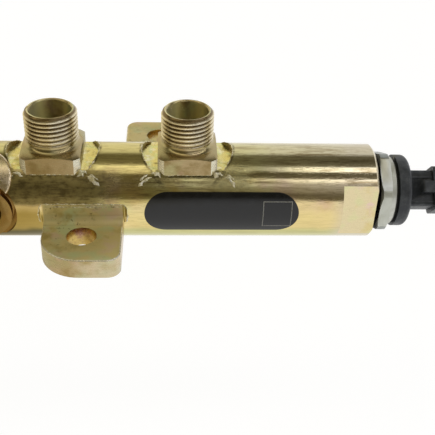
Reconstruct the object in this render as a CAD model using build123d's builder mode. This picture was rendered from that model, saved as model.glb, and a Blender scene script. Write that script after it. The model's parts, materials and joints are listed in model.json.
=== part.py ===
"""Common-rail fuel rail: a forged and machined steel rail with four outlet unions,
an inlet union, bolt lugs, an end plug and a screwed-in pressure sensor.

Frame: the origin is midway between the two front bolt holes, on the plane that the
lugs seat on. +X runs along the rail towards the sensor, +Z along the outlets, and
-Y is the front, where the inlet and the label are. Millimetres throughout.
"""
import os
from math import cos, radians, sin, tan

from build123d import *

os.makedirs("parts", exist_ok=True)

# ---------------------------------------------------------------- rail tube
RAIL_RADIUS = 16.75
RAIL_BORE_RADIUS = 5.0
RAIL_LEFT = -103.0
RAIL_RIGHT = 135.1
END_CHAMFER = 0.9
END_FLAT_AF = 27.2
END_FLAT_LENGTH = 12.4

# ---------------------------------------------------------------- unions
OUTLET_PITCH = 46.0
OUTLET_COUNT = 4
UNION_HEIGHT = 31.5
UNION_THREAD_RADIUS = 9.0
UNION_THREAD_PITCH = 1.5
UNION_THREAD_LENGTH = 10.6
UNION_RIM_CHAMFER = 1.1
UNION_SHOULDER_HEIGHT = 18.8
UNION_SHOULDER_RADIUS = 10.4
UNION_CORNER_RADIUS = 13.8
UNION_CHAMFER_DROP = 1.0
UNION_WIDTH = 20.2
UNION_DEPTH = 22.6
UNION_RELIEF = 0.6
UNION_BORE_RADIUS = 7.05
UNION_BORE_DEPTH = 13.0
UNION_BORE_CHAMFER = 0.4
UNION_SEAT_ANGLE = 60.0
DRILL_RADIUS = 1.5

# ---------------------------------------------------------------- inlet port on the front
INLET_FACE_DEPTH = 0.75
INLET_BOSS_RADIUS = 9.8
INLET_GROOVE_RADIUS = 11.6
INLET_GROOVE_DEPTH = 2.95
INLET_BORE_RADIUS = 6.2
INLET_BORE_DEPTH = 8.0
INLET_DRILL_RADIUS = 2.0
INLET_DRILL_POINT = 118.0
INLET_PAD_RADIUS = 10.4
INLET_PAD_RISE = 1.0
INLET_PAD_EDGE_RADIUS = 0.8
INLET_PAD_TURN = 44.0

# ---------------------------------------------------------------- spotfaces round the unions
SPOTFACE_RADIUS = 15.8
SPOTFACE_DEPTH = 3.15

# ---------------------------------------------------------------- bolt lugs
LUG_THICKNESS = 7.0
LUG_TOP_BELOW_AXIS = 3.3
LUG_HALF_WIDTH = 13.4
LUG_CORNER_RADIUS = 4.5
LUG_HOLE_RADIUS = 5.05
LUG_EDGE_RADIUS = 0.6
LUG_WALL_INSET = 0.45
LUG_CUTTER_RADIUS = 3.0
LUG_FOOT_FILLET = 3.0
FRONT_LUG_END = 13.4
FRONT_LUG_REACH = 24.8
FRONT_LUG_X = 33.7
REAR_LUG_REACH = 46.7
REAR_LUG_X = 58.9
REAR_LUG_END = 12.2

# ---------------------------------------------------------------- throttle inserts
THROTTLE_RADIUS = 2.4
THROTTLE_LENGTH = 4.0
THROTTLE_HOLE_RADIUS = 0.45
THROTTLE_CHAMFER = 0.3

# ---------------------------------------------------------------- label
LABEL_START = 54.4
LABEL_LENGTH = 53.0
LABEL_ARC = 54.0
LABEL_TILT = 1.6
LABEL_THICKNESS = 0.15

# ---------------------------------------------------------------- end plug
PLUG_AF = 24.0
PLUG_HEAD_LENGTH = 8.0
PLUG_CORNER_RADIUS = 13.3
PLUG_FACE_RADIUS = 11.8
PLUG_FLANGE_RADIUS = 13.4
PLUG_FLANGE_LENGTH = 2.0
PLUG_BORE_RADIUS = 9.0
PLUG_BORE_DEPTH = 15.0
PLUG_SHANK_LENGTH = 12.0
PLUG_POCKET_RADIUS = 5.5
PLUG_POCKET_DEPTH = 5.0
PLUG_SEAL_THICKNESS = 1.5
PLUG_SEAL_OUTER_RADIUS = 12.6

# ---------------------------------------------------------------- pressure sensor
SENSOR_BORE_RADIUS = 9.0
SENSOR_BORE_DEPTH = 15.0
SENSOR_NOSE_LENGTH = 3.0
SENSOR_NOSE_TIP_RADIUS = 6.4
SENSOR_STAND_OFF = 1.4
SENSOR_AF = 27.0
SENSOR_HEX_LENGTH = 3.9
SENSOR_HEX_CORNER_RADIUS = 14.85
SENSOR_HEX_FACE_RADIUS = 13.3
SENSOR_HEX_FACE_DROP = 0.6
SENSOR_HEX_TURN = 35.0
SENSOR_PORT_RADIUS = 1.25
SENSOR_CAVITY_DEPTH = 2.6
COLLAR_RADIUS = 12.3
COLLAR_WALL = 1.3
COLLAR_LENGTH = 2.2
CELL_RADIUS = 3.6
CELL_LENGTH = 3.6
CELL_DIAPHRAGM = 0.4
CELL_FOOT_RADIUS = 4.8
CELL_FOOT_LENGTH = 0.8
SPACER_WALL = 1.2
SPACER_LENGTH = 3.2
BOARD_THICKNESS = 0.8
BOARD_WINDOW_RADIUS = 4.2

# ---------------------------------------------------------------- sensor housing and its connector
HOUSING_WALL = 1.25
CAP_RADIUS = 12.9
CAP_GAP = 0.9
CAP_LENGTH = 4.6
CAP_EDGE_RADIUS = 1.8
CAP_END_WALL = 2.2
CONNECTOR_TURN = 45.0
NECK_WIDTH = 13.4
NECK_DEPTH = 7.8
NECK_LENGTH = 10.0
NECK_CORNER_RADIUS = 1.2
SHELL_MARGIN = 1.4
SHELL_LENGTH = 14.0
SHELL_CORNER_RADIUS = 2.0
SHELL_WALL = 1.3
SOCKET_DEPTH = 12.5
SOCKET_CORNER_RADIUS = 0.8
LATCH_WIDTH = 4.3
LATCH_HEIGHT = 2.4
LATCH_START = 5.6
LATCH_LAND = 1.2
LATCH_LENGTH = 5.0
TERMINAL_COUNT = 3
TERMINAL_PITCH = 3.5
TERMINAL_WIDTH = 1.5
TERMINAL_THICKNESS = 0.6
TERMINAL_REACH = 7.0
TERMINAL_TIP = 0.6

# ---------------------------------------------------------------- clearances
THREAD_CLEARANCE = 0.1
SLIP_CLEARANCE = 0.15
FIT_TOLERANCE = 0.01

# ---------------------------------------------------------------- places that follow from the above
AXIS_Y = FRONT_LUG_REACH
AXIS_Z = LUG_THICKNESS + LUG_TOP_BELOW_AXIS
OUTLET_X = [OUTLET_PITCH * (i - (OUTLET_COUNT - 1) / 2) for i in range(OUTLET_COUNT)]
RAIL_AXIS = Axis((0, AXIS_Y, AXIS_Z), (1, 0, 0))
OUTLET_PLACES = [Location((x, AXIS_Y, AXIS_Z)) for x in OUTLET_X]
INLET_PLACE = Location((0, AXIS_Y, AXIS_Z), (90, 0, 0))
INLET_PAD_PLACE = Location((0, AXIS_Y, AXIS_Z), (90 - INLET_PAD_TURN, 0, 0))
SPOTFACE_HEIGHT = RAIL_RADIUS - SPOTFACE_DEPTH
INLET_FACE = RAIL_RADIUS - INLET_FACE_DEPTH
INLET_GROOVE_FLOOR = RAIL_RADIUS - INLET_GROOVE_DEPTH
LUG_WALL = RAIL_RADIUS - LUG_WALL_INSET
SEAT_TOP = UNION_HEIGHT - UNION_BORE_DEPTH
SEAT_LENGTH = (UNION_BORE_RADIUS - THROTTLE_RADIUS) / tan(radians(UNION_SEAT_ANGLE / 2))
THROTTLE_FOOT = SEAT_TOP - SEAT_LENGTH - THROTTLE_LENGTH
PLUG_FACE = RAIL_LEFT - PLUG_SEAL_THICKNESS
HEX_START = RAIL_RIGHT + SENSOR_STAND_OFF
HEX_END = HEX_START + SENSOR_HEX_LENGTH
CAVITY_FLOOR = HEX_END - SENSOR_CAVITY_DEPTH
COLLAR_END = HEX_END + COLLAR_LENGTH
CAP_START = COLLAR_END + CAP_GAP
NECK_START = CAP_START + CAP_LENGTH
SHELL_START = NECK_START + NECK_LENGTH
SHELL_END = SHELL_START + SHELL_LENGTH
SPIGOT_RADIUS = COLLAR_RADIUS - COLLAR_WALL - SLIP_CLEARANCE
CAVITY_RADIUS = SPIGOT_RADIUS - HOUSING_WALL
CAVITY_END = NECK_START - CAP_END_WALL
BOARD_START = CAVITY_FLOOR + SPACER_LENGTH
SHELL_WIDTH = NECK_WIDTH + 2 * SHELL_MARGIN
SHELL_DEPTH = NECK_DEPTH + 2 * SHELL_MARGIN


def across(x, turn=0.0):
    """Plane square to the rail axis at x; its own x is +Y and its own y is +Z, both turned."""
    side = (0, cos(radians(turn)), sin(radians(turn)))
    return Plane(origin=(x, AXIS_Y, AXIS_Z), x_dir=side, z_dir=(1, 0, 0))


def along(x):
    """Upright plane through the rail axis: its own x is +X and its own y is +Z."""
    return Plane(origin=(x, AXIS_Y, AXIS_Z), x_dir=(1, 0, 0), z_dir=(0, -1, 0))


def write(piece, name):
    """Label one finished piece and write its STEP file."""
    piece.label = name
    export_step(piece, f"parts/{name}.step")


# ================================================================ tools for the unions
def union_blank():
    """An outlet union standing on the rail axis: threaded spigot, flared shoulder and wrench boss."""
    thread_foot = UNION_HEIGHT - UNION_THREAD_LENGTH
    flare_top = thread_foot - UNION_RELIEF
    flare_radius = UNION_THREAD_RADIUS - UNION_RELIEF
    with BuildPart() as blank:
        with BuildSketch(Plane.XZ):
            with BuildLine():
                Polyline(
                    (flare_radius, flare_top),
                    (UNION_THREAD_RADIUS, thread_foot),
                    (UNION_THREAD_RADIUS, UNION_HEIGHT - UNION_RIM_CHAMFER),
                    (UNION_THREAD_RADIUS - UNION_RIM_CHAMFER, UNION_HEIGHT),
                    (0, UNION_HEIGHT),
                    (0, RAIL_BORE_RADIUS),
                    (UNION_CORNER_RADIUS, RAIL_BORE_RADIUS),
                    (UNION_CORNER_RADIUS, UNION_SHOULDER_HEIGHT - UNION_CHAMFER_DROP),
                    (UNION_SHOULDER_RADIUS, UNION_SHOULDER_HEIGHT),
                )
                RadiusArc(
                    (UNION_SHOULDER_RADIUS, UNION_SHOULDER_HEIGHT),
                    (flare_radius, flare_top),
                    UNION_SHOULDER_RADIUS - flare_radius,
                )
            make_face()
        revolve(axis=Axis.Z)
        with BuildSketch():
            Rectangle(UNION_WIDTH, UNION_DEPTH)
        extrude(amount=UNION_HEIGHT, mode=Mode.INTERSECT)
    return blank.part


def outlet_bore():
    """What is drilled out of an outlet: counterbore, cone seat, throttle pocket and drilling."""
    with BuildPart() as tool:
        with BuildSketch(Plane.XZ):
            with BuildLine():
                Polyline(
                    (0, UNION_HEIGHT),
                    (UNION_BORE_RADIUS + UNION_BORE_CHAMFER, UNION_HEIGHT),
                    (UNION_BORE_RADIUS, UNION_HEIGHT - UNION_BORE_CHAMFER),
                    (UNION_BORE_RADIUS, SEAT_TOP),
                    (THROTTLE_RADIUS, THROTTLE_FOOT + THROTTLE_LENGTH),
                    (THROTTLE_RADIUS, THROTTLE_FOOT),
                    (DRILL_RADIUS, THROTTLE_FOOT),
                    (DRILL_RADIUS, 0),
                    (0, 0),
                    (0, UNION_HEIGHT),
                )
            make_face()
        revolve(axis=Axis.Z)
    return tool.part


def inlet_bore():
    """What is drilled out of the inlet boss: tapped bore, drill point and drilling."""
    point_height = (INLET_BORE_RADIUS - INLET_DRILL_RADIUS) / tan(radians(INLET_DRILL_POINT / 2))
    bore_foot = INLET_FACE - INLET_BORE_DEPTH
    with BuildPart() as tool:
        with BuildSketch(Plane.XZ):
            with BuildLine():
                Polyline(
                    (0, INLET_FACE),
                    (INLET_BORE_RADIUS, INLET_FACE),
                    (INLET_BORE_RADIUS, bore_foot),
                    (INLET_DRILL_RADIUS, bore_foot - point_height),
                    (INLET_DRILL_RADIUS, 0),
                    (0, 0),
                    (0, INLET_FACE),
                )
            make_face()
        revolve(axis=Axis.Z)
    return tool.part


def facing_tool(radius, height):
    """What a cutter of that radius takes off the tube down to that height above the rail axis."""
    with BuildPart() as tool:
        with BuildSketch(Plane.XY.offset(height)):
            Circle(radius)
        extrude(amount=RAIL_RADIUS)
    return tool.part


def inlet_pad():
    """The forged pad above the inlet: a round swelling that follows the tube, on the rail axis."""
    crown = RAIL_RADIUS + INLET_PAD_RISE
    with BuildPart() as pad:
        with BuildSketch():
            Circle(INLET_PAD_RADIUS)
        extrude(amount=crown)
        Cylinder(crown, 2 * INLET_PAD_RADIUS, rotation=(0, 90, 0), mode=Mode.INTERSECT)
        fillet(pad.faces().sort_by(Axis.Z)[-1].edges(), INLET_PAD_EDGE_RADIUS)
    return pad.part


# ================================================================ rail body
def lug_blank(x, side, reach, end):
    """One lug from the rail axis to its end, rounded along its top edge; side is -1 in front and 1 behind.

    The broad corner is the one towards mid-rail on a front lug and away from it on a rear lug.
    """
    broad_x = x + LUG_HALF_WIDTH * (side if x > 0 else -side)
    end_y = AXIS_Y + side * (reach + end)
    with BuildPart() as blank:
        with BuildSketch() as outline:
            with Locations((x, (AXIS_Y + end_y) / 2)):
                Rectangle(2 * LUG_HALF_WIDTH, reach + end)
            broad = outline.vertices().sort_by_distance((broad_x, end_y, 0))[0]
            fillet(broad, end)
            tight = outline.vertices().sort_by_distance((2 * x - broad_x, end_y, 0))[0]
            fillet(tight, LUG_CORNER_RADIUS)
        extrude(amount=LUG_THICKNESS)
        fillet(blank.faces().sort_by(Axis.Z)[-1].edges(), LUG_EDGE_RADIUS)
    return blank.part


def lug_web(side):
    """Sketch, about the rail axis, the hollow fillet between a lug's top face and its wall."""
    lug_top = LUG_THICKNESS - AXIS_Z
    web_floor = lug_top - LUG_EDGE_RADIUS
    foot = (side * (LUG_WALL + LUG_CUTTER_RADIUS), lug_top)
    head = (side * LUG_WALL, lug_top + LUG_CUTTER_RADIUS)
    with BuildSketch() as web:
        with BuildLine():
            Polyline(head, (0, head[1]), (0, web_floor), (foot[0], web_floor), foot)
            RadiusArc(foot, head, side * LUG_CUTTER_RADIUS)
        make_face()
    return web.sketch


def lug_facing(x, side):
    """What the end mill that faces a lug takes off the tube's side as it runs past the lug's width."""
    with BuildPart() as tool:
        with BuildSketch(Plane.XY.offset(LUG_THICKNESS)):
            with Locations((x, AXIS_Y + side * (LUG_WALL + LUG_CUTTER_RADIUS))):
                SlotCenterToCenter(2 * LUG_HALF_WIDTH, 2 * LUG_CUTTER_RADIUS)
        extrude(amount=RAIL_RADIUS)
    return tool.part


FRONT_LUGS = [(x, -1, FRONT_LUG_REACH, FRONT_LUG_END) for x in (-FRONT_LUG_X, FRONT_LUG_X)]
REAR_LUGS = [(x, 1, REAR_LUG_REACH, REAR_LUG_END) for x in (-REAR_LUG_X, REAR_LUG_X)]
LUGS = FRONT_LUGS + REAR_LUGS

with BuildPart() as rail_body:
    with BuildSketch(across(RAIL_LEFT)):
        Circle(RAIL_RADIUS)
    extrude(amount=RAIL_RIGHT - RAIL_LEFT)
    chamfer(rail_body.edges().filter_by(GeomType.CIRCLE), END_CHAMFER)

    for lug in LUGS:
        add(lug_blank(*lug))
    foot_edges = rail_body.edges().filter_by(Axis.X).filter_by(
        lambda edge: abs(edge.center().Z) < FIT_TOLERANCE and abs(edge.center().Y - AXIS_Y) < RAIL_RADIUS
    )
    fillet(foot_edges, LUG_FOOT_FILLET)
    for lug_x, side, reach, end in LUGS:
        add(lug_facing(lug_x, side), mode=Mode.SUBTRACT)
        with BuildSketch(across(lug_x - LUG_HALF_WIDTH)):
            add(lug_web(side))
        extrude(amount=2 * LUG_HALF_WIDTH)

    with BuildSketch(across(RAIL_RIGHT)):
        Circle(RAIL_RADIUS)
        Rectangle(END_FLAT_AF, 2 * RAIL_RADIUS, mode=Mode.SUBTRACT)
    extrude(amount=-END_FLAT_LENGTH, mode=Mode.SUBTRACT)
    with Locations(*OUTLET_PLACES):
        add(facing_tool(SPOTFACE_RADIUS, SPOTFACE_HEIGHT), mode=Mode.SUBTRACT)
        add(union_blank())
        add(outlet_bore(), mode=Mode.SUBTRACT)
    with Locations(INLET_PAD_PLACE):
        add(inlet_pad())
    with Locations(INLET_PLACE):
        add(facing_tool(INLET_GROOVE_RADIUS, INLET_GROOVE_FLOOR), mode=Mode.SUBTRACT)
        Cylinder(INLET_BOSS_RADIUS, INLET_FACE, align=(Align.CENTER, Align.CENTER, Align.MIN))
        add(inlet_bore(), mode=Mode.SUBTRACT)

    with BuildSketch(across(RAIL_LEFT)):
        Circle(RAIL_BORE_RADIUS)
    extrude(amount=RAIL_RIGHT - RAIL_LEFT, mode=Mode.SUBTRACT)
    with BuildSketch(across(RAIL_LEFT)):
        Circle(PLUG_BORE_RADIUS)
    extrude(amount=PLUG_BORE_DEPTH, mode=Mode.SUBTRACT)
    with BuildSketch(across(RAIL_RIGHT)):
        Circle(SENSOR_BORE_RADIUS)
    extrude(amount=-SENSOR_BORE_DEPTH, mode=Mode.SUBTRACT)

    for lug_x, side, reach, end in LUGS:
        with Locations((lug_x, AXIS_Y + side * reach, LUG_THICKNESS)):
            Hole(LUG_HOLE_RADIUS, depth=LUG_THICKNESS)
write(rail_body.part, "rail_body")

# ================================================================ throttle inserts
for number, x in enumerate(OUTLET_X, start=1):
    with BuildPart() as throttle:
        with BuildSketch(Plane((x, AXIS_Y, AXIS_Z + THROTTLE_FOOT))):
            Circle(THROTTLE_RADIUS)
            Circle(THROTTLE_HOLE_RADIUS, mode=Mode.SUBTRACT)
        extrude(amount=THROTTLE_LENGTH)
        chamfer(throttle.edges().filter_by(GeomType.CIRCLE).group_by(SortBy.RADIUS)[-1], THROTTLE_CHAMFER)
    write(throttle.part, f"outlet_throttle_{number}")

# ================================================================ label
with BuildPart() as label:
    with BuildSketch(across(LABEL_START)):
        Circle(RAIL_RADIUS + LABEL_THICKNESS)
        Circle(RAIL_RADIUS, mode=Mode.SUBTRACT)
    extrude(amount=LABEL_LENGTH)
    label_front = Plane(
        origin=(LABEL_START + LABEL_LENGTH / 2, AXIS_Y, AXIS_Z),
        x_dir=(1, 0, 0),
        z_dir=(0, -cos(radians(LABEL_TILT)), sin(radians(LABEL_TILT))),
    )
    with BuildSketch(label_front):
        SlotOverall(LABEL_LENGTH, 2 * RAIL_RADIUS * sin(radians(LABEL_ARC / 2)))
    extrude(amount=2 * RAIL_RADIUS, mode=Mode.INTERSECT)
write(label.part, "label")

# ================================================================ end plug
with BuildPart() as end_plug_seal:
    with BuildSketch(across(PLUG_FACE)):
        Circle(PLUG_SEAL_OUTER_RADIUS)
        Circle(PLUG_BORE_RADIUS + SLIP_CLEARANCE, mode=Mode.SUBTRACT)
    extrude(amount=PLUG_SEAL_THICKNESS)
write(end_plug_seal.part, "end_plug_seal")

with BuildPart() as end_plug:
    with BuildSketch(across(PLUG_FACE)):
        RegularPolygon(PLUG_AF / 2, 6, major_radius=False)
    extrude(amount=-PLUG_FLANGE_LENGTH - PLUG_HEAD_LENGTH)
    with BuildSketch(along(PLUG_FACE - PLUG_FLANGE_LENGTH - PLUG_HEAD_LENGTH)):
        with BuildLine():
            Polyline(
                (0, 0),
                (PLUG_HEAD_LENGTH + PLUG_FLANGE_LENGTH, 0),
                (PLUG_HEAD_LENGTH + PLUG_FLANGE_LENGTH, PLUG_CORNER_RADIUS),
                (PLUG_CORNER_RADIUS - PLUG_FACE_RADIUS, PLUG_CORNER_RADIUS),
                (0, PLUG_FACE_RADIUS),
                (0, 0),
            )
        make_face()
    revolve(axis=RAIL_AXIS, mode=Mode.INTERSECT)
    with BuildSketch(across(PLUG_FACE)):
        Circle(PLUG_FLANGE_RADIUS)
    extrude(amount=-PLUG_FLANGE_LENGTH)
    with BuildSketch(across(PLUG_FACE)):
        Circle(PLUG_BORE_RADIUS - THREAD_CLEARANCE)
    extrude(amount=PLUG_SHANK_LENGTH)
    chamfer(end_plug.edges().sort_by(Axis.X)[-1], UNION_THREAD_PITCH / 2)
    with BuildSketch(across(PLUG_FACE + PLUG_SHANK_LENGTH)):
        Circle(PLUG_POCKET_RADIUS)
    extrude(amount=-PLUG_POCKET_DEPTH, mode=Mode.SUBTRACT)
write(end_plug.part, "end_plug")

# ================================================================ pressure sensor: steel pieces
with BuildPart() as sensor_body:
    with BuildSketch(across(HEX_START, SENSOR_HEX_TURN)):
        RegularPolygon(SENSOR_AF / 2, 6, major_radius=False)
    extrude(amount=SENSOR_HEX_LENGTH)
    with BuildSketch(along(HEX_START)):
        with BuildLine():
            Polyline(
                (0, 0),
                (0, SENSOR_HEX_FACE_RADIUS),
                (SENSOR_HEX_FACE_DROP, SENSOR_HEX_CORNER_RADIUS),
                (SENSOR_HEX_LENGTH - SENSOR_HEX_FACE_DROP / 2, SENSOR_HEX_CORNER_RADIUS),
                (SENSOR_HEX_LENGTH, (SENSOR_HEX_CORNER_RADIUS + SENSOR_HEX_FACE_RADIUS) / 2),
                (SENSOR_HEX_LENGTH, 0),
                (0, 0),
            )
        make_face()
    revolve(axis=RAIL_AXIS, mode=Mode.INTERSECT)
    with BuildSketch(across(HEX_START)):
        Circle(SENSOR_BORE_RADIUS - THREAD_CLEARANCE)
    extrude(amount=SENSOR_NOSE_LENGTH - SENSOR_BORE_DEPTH - SENSOR_STAND_OFF)
    with BuildSketch(along(RAIL_RIGHT - SENSOR_BORE_DEPTH)):
        with BuildLine():
            Polyline(
                (0, 0),
                (0, SENSOR_NOSE_TIP_RADIUS),
                (SENSOR_NOSE_LENGTH, SENSOR_BORE_RADIUS - THREAD_CLEARANCE),
                (SENSOR_NOSE_LENGTH, 0),
                (0, 0),
            )
        make_face()
    revolve(axis=RAIL_AXIS)
    with BuildSketch(across(HEX_END)):
        Circle(CAVITY_RADIUS)
    extrude(amount=-SENSOR_CAVITY_DEPTH, mode=Mode.SUBTRACT)
    with BuildSketch(across(CAVITY_FLOOR)):
        Circle(SENSOR_PORT_RADIUS)
    extrude(amount=-(CAVITY_FLOOR - RAIL_RIGHT + SENSOR_BORE_DEPTH), mode=Mode.SUBTRACT)
write(sensor_body.part, "sensor_body")

with BuildPart() as sensor_cell:
    with BuildSketch(along(CAVITY_FLOOR)):
        with BuildLine():
            Polyline(
                (0, SENSOR_PORT_RADIUS),
                (0, CELL_FOOT_RADIUS),
                (CELL_FOOT_LENGTH, CELL_FOOT_RADIUS),
                (CELL_FOOT_LENGTH, CELL_RADIUS),
                (CELL_LENGTH, CELL_RADIUS),
                (CELL_LENGTH, 0),
                (CELL_LENGTH - CELL_DIAPHRAGM, 0),
                (CELL_LENGTH - CELL_DIAPHRAGM, SENSOR_PORT_RADIUS),
                (0, SENSOR_PORT_RADIUS),
            )
        make_face()
    revolve(axis=RAIL_AXIS)
write(sensor_cell.part, "sensor_cell")

with BuildPart() as sensor_collar:
    with BuildSketch(across(HEX_END)):
        Circle(COLLAR_RADIUS)
        Circle(COLLAR_RADIUS - COLLAR_WALL, mode=Mode.SUBTRACT)
    extrude(amount=COLLAR_LENGTH)
    collar_rims = sensor_collar.edges().filter_by(GeomType.CIRCLE).group_by(Axis.X)[-1]
    fillet(collar_rims.sort_by(SortBy.RADIUS)[-1], COLLAR_WALL / 3)
write(sensor_collar.part, "sensor_collar")

# ================================================================ pressure sensor: electronics
with BuildPart() as sensor_spacer:
    with BuildSketch(across(CAVITY_FLOOR)):
        Circle(CAVITY_RADIUS - SLIP_CLEARANCE)
        Circle(CAVITY_RADIUS - SLIP_CLEARANCE - SPACER_WALL, mode=Mode.SUBTRACT)
    extrude(amount=SPACER_LENGTH)
write(sensor_spacer.part, "sensor_spacer")

with BuildPart() as sensor_board:
    with BuildSketch(across(BOARD_START)):
        Circle(CAVITY_RADIUS - SLIP_CLEARANCE)
        Circle(BOARD_WINDOW_RADIUS, mode=Mode.SUBTRACT)
    extrude(amount=BOARD_THICKNESS)
write(sensor_board.part, "sensor_board")

# ================================================================ pressure sensor: housing
O_RING_SECTION = CAP_GAP / 2
with BuildPart() as sensor_o_ring:
    with BuildSketch(along(COLLAR_END + O_RING_SECTION)):
        with Locations((0, SPIGOT_RADIUS + O_RING_SECTION)):
            Circle(O_RING_SECTION)
    revolve(axis=RAIL_AXIS)
write(sensor_o_ring.part, "sensor_o_ring")


with BuildPart() as sensor_housing:
    with BuildSketch(across(HEX_END)):
        Circle(SPIGOT_RADIUS)
    extrude(amount=CAP_START - HEX_END)
    with BuildSketch(across(CAP_START)):
        Circle(CAP_RADIUS)
    extrude(amount=CAP_LENGTH)
    cap_edge = sensor_housing.edges().filter_by(GeomType.CIRCLE).group_by(Axis.X)[-1]
    fillet(cap_edge, CAP_EDGE_RADIUS)
    with BuildSketch(across(NECK_START - CAP_EDGE_RADIUS, -CONNECTOR_TURN)):
        RectangleRounded(NECK_DEPTH, NECK_WIDTH, NECK_CORNER_RADIUS)
    extrude(amount=NECK_LENGTH + CAP_EDGE_RADIUS)
    with BuildSketch(across(SHELL_START, -CONNECTOR_TURN)):
        RectangleRounded(SHELL_DEPTH, SHELL_WIDTH, SHELL_CORNER_RADIUS)
    extrude(amount=SHELL_LENGTH)
    # The latch is a wedge on the neck's upper front face, steep towards the cap.
    latch_side = Plane(
        origin=(NECK_START + LATCH_START, AXIS_Y, AXIS_Z),
        x_dir=(1, 0, 0),
        z_dir=(0, -sin(radians(CONNECTOR_TURN)), -cos(radians(CONNECTOR_TURN))),
    )
    with BuildSketch(latch_side):
        with BuildLine():
            Polyline(
                (0, 0),
                (0, NECK_DEPTH / 2 + LATCH_HEIGHT),
                (LATCH_LAND, NECK_DEPTH / 2 + LATCH_HEIGHT),
                (LATCH_LAND + LATCH_LENGTH, SHELL_DEPTH / 2),
                (LATCH_LAND + LATCH_LENGTH, 0),
                (0, 0),
            )
        make_face()
    extrude(amount=LATCH_WIDTH / 2, both=True)
    with BuildSketch(across(SHELL_END, -CONNECTOR_TURN)):
        RectangleRounded(SHELL_DEPTH - 2 * SHELL_WALL, SHELL_WIDTH - 2 * SHELL_WALL, SOCKET_CORNER_RADIUS)
    extrude(amount=-SOCKET_DEPTH, mode=Mode.SUBTRACT)
    with BuildSketch(across(HEX_END)):
        Circle(CAVITY_RADIUS)
    extrude(amount=CAVITY_END - HEX_END, mode=Mode.SUBTRACT)
    with BuildSketch(across(CAVITY_END, -CONNECTOR_TURN)):
        with GridLocations(0, TERMINAL_PITCH, 1, TERMINAL_COUNT):
            Rectangle(TERMINAL_THICKNESS, TERMINAL_WIDTH)
    extrude(amount=SHELL_END - CAVITY_END, mode=Mode.SUBTRACT)
write(sensor_housing.part, "sensor_housing")

terminal_start = BOARD_START + BOARD_THICKNESS
for number in range(1, TERMINAL_COUNT + 1):
    with BuildPart() as terminal:
        with BuildSketch(across(terminal_start, -CONNECTOR_TURN)):
            with Locations((0, TERMINAL_PITCH * (number - (TERMINAL_COUNT + 1) / 2))):
                Rectangle(TERMINAL_THICKNESS, TERMINAL_WIDTH)
        extrude(amount=SHELL_END - SOCKET_DEPTH + TERMINAL_REACH - terminal_start)
        chamfer(terminal.faces().sort_by(Axis.X)[-1].edges(), TERMINAL_TIP, TERMINAL_THICKNESS / 4)
    write(terminal.part, f"sensor_terminal_{number}")
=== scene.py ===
"""Looks of a common-rail fuel rail: yellow zinc, threaded outlets, a blank label and a sensor.

Lengths are in metres in the shared frame: +X runs along the rail towards the sensor, +Z along the
outlets, and -Y is the front. Names that end in _mm hold millimetres.
"""

import json
import logging
import math
from contextlib import contextmanager
from dataclasses import dataclass, field, replace
from enum import Enum
from functools import cache, partial, reduce
from typing import Any, Callable, ClassVar, Iterable, Iterator, Sequence

import bmesh
import bpy
from mathutils import Matrix, Vector, noise


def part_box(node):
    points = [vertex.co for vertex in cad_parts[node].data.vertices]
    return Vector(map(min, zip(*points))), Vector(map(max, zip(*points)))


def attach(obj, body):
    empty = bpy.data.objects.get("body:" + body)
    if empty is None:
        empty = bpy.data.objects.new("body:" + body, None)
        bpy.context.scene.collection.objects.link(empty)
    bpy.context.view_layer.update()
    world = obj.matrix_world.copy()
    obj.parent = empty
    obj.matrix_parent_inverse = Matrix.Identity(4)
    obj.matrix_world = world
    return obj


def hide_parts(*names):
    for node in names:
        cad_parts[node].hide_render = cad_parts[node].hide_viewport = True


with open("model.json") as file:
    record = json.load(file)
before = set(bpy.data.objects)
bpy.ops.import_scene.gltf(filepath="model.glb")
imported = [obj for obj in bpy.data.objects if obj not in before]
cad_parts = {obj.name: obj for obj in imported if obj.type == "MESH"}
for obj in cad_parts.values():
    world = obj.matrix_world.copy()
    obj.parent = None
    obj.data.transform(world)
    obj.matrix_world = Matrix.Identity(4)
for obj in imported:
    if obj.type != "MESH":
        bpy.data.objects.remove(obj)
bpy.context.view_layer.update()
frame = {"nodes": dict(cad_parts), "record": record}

LOG = logging.getLogger("fuel_rail")
MM = 0.001
FLOAT, VECTOR, COLOUR = "NodeSocketFloat", "NodeSocketVector", "NodeSocketColor"
WHITE = (1.0, 1.0, 1.0)
EVEN = (1.0, 1.0, 1.0)
NOWHERE = (0.0, 0.0, 0.0)

Colour = tuple[float, float, float]
Triple = tuple[float, float, float]
Ramp = tuple[float, ...]  # from, to, and the values there where they aren't 0 and 1
Window = tuple[float, float, float, float]  # start, full, fade and end
Wander = tuple[float, float, float, float]  # reach, and the noise's scale, detail and roughness
BMesh = bmesh.types.BMesh
Face = bpy.types.MeshPolygon
Material = bpy.types.Material
Mesh = bpy.types.Mesh
Node = bpy.types.Node
Piece = bpy.types.Object
Socket = bpy.types.NodeSocket
Tree = bpy.types.NodeTree

# Sizes of the rail that more than one class reads; heights and depths are from its axis.
RAIL_AXIS_Y = 24.8 * MM
RAIL_AXIS_Z = 10.3 * MM
OUTLET_X = tuple(x * MM for x in (-69.0, -23.0, 23.0, 69.0))
TUBE_RADIUS = 16.75 * MM
SPOTFACE_RADIUS = 15.8 * MM
SPOTFACE_HEIGHT = 13.6 * MM
UNION_HALF_WIDTH = 10.1 * MM
UNION_HALF_DEPTH = 11.3 * MM
LUG_X = 33.7 * MM
LUG_HALF_WIDTH = 13.4 * MM
LUG_WALL = 16.3 * MM


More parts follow.
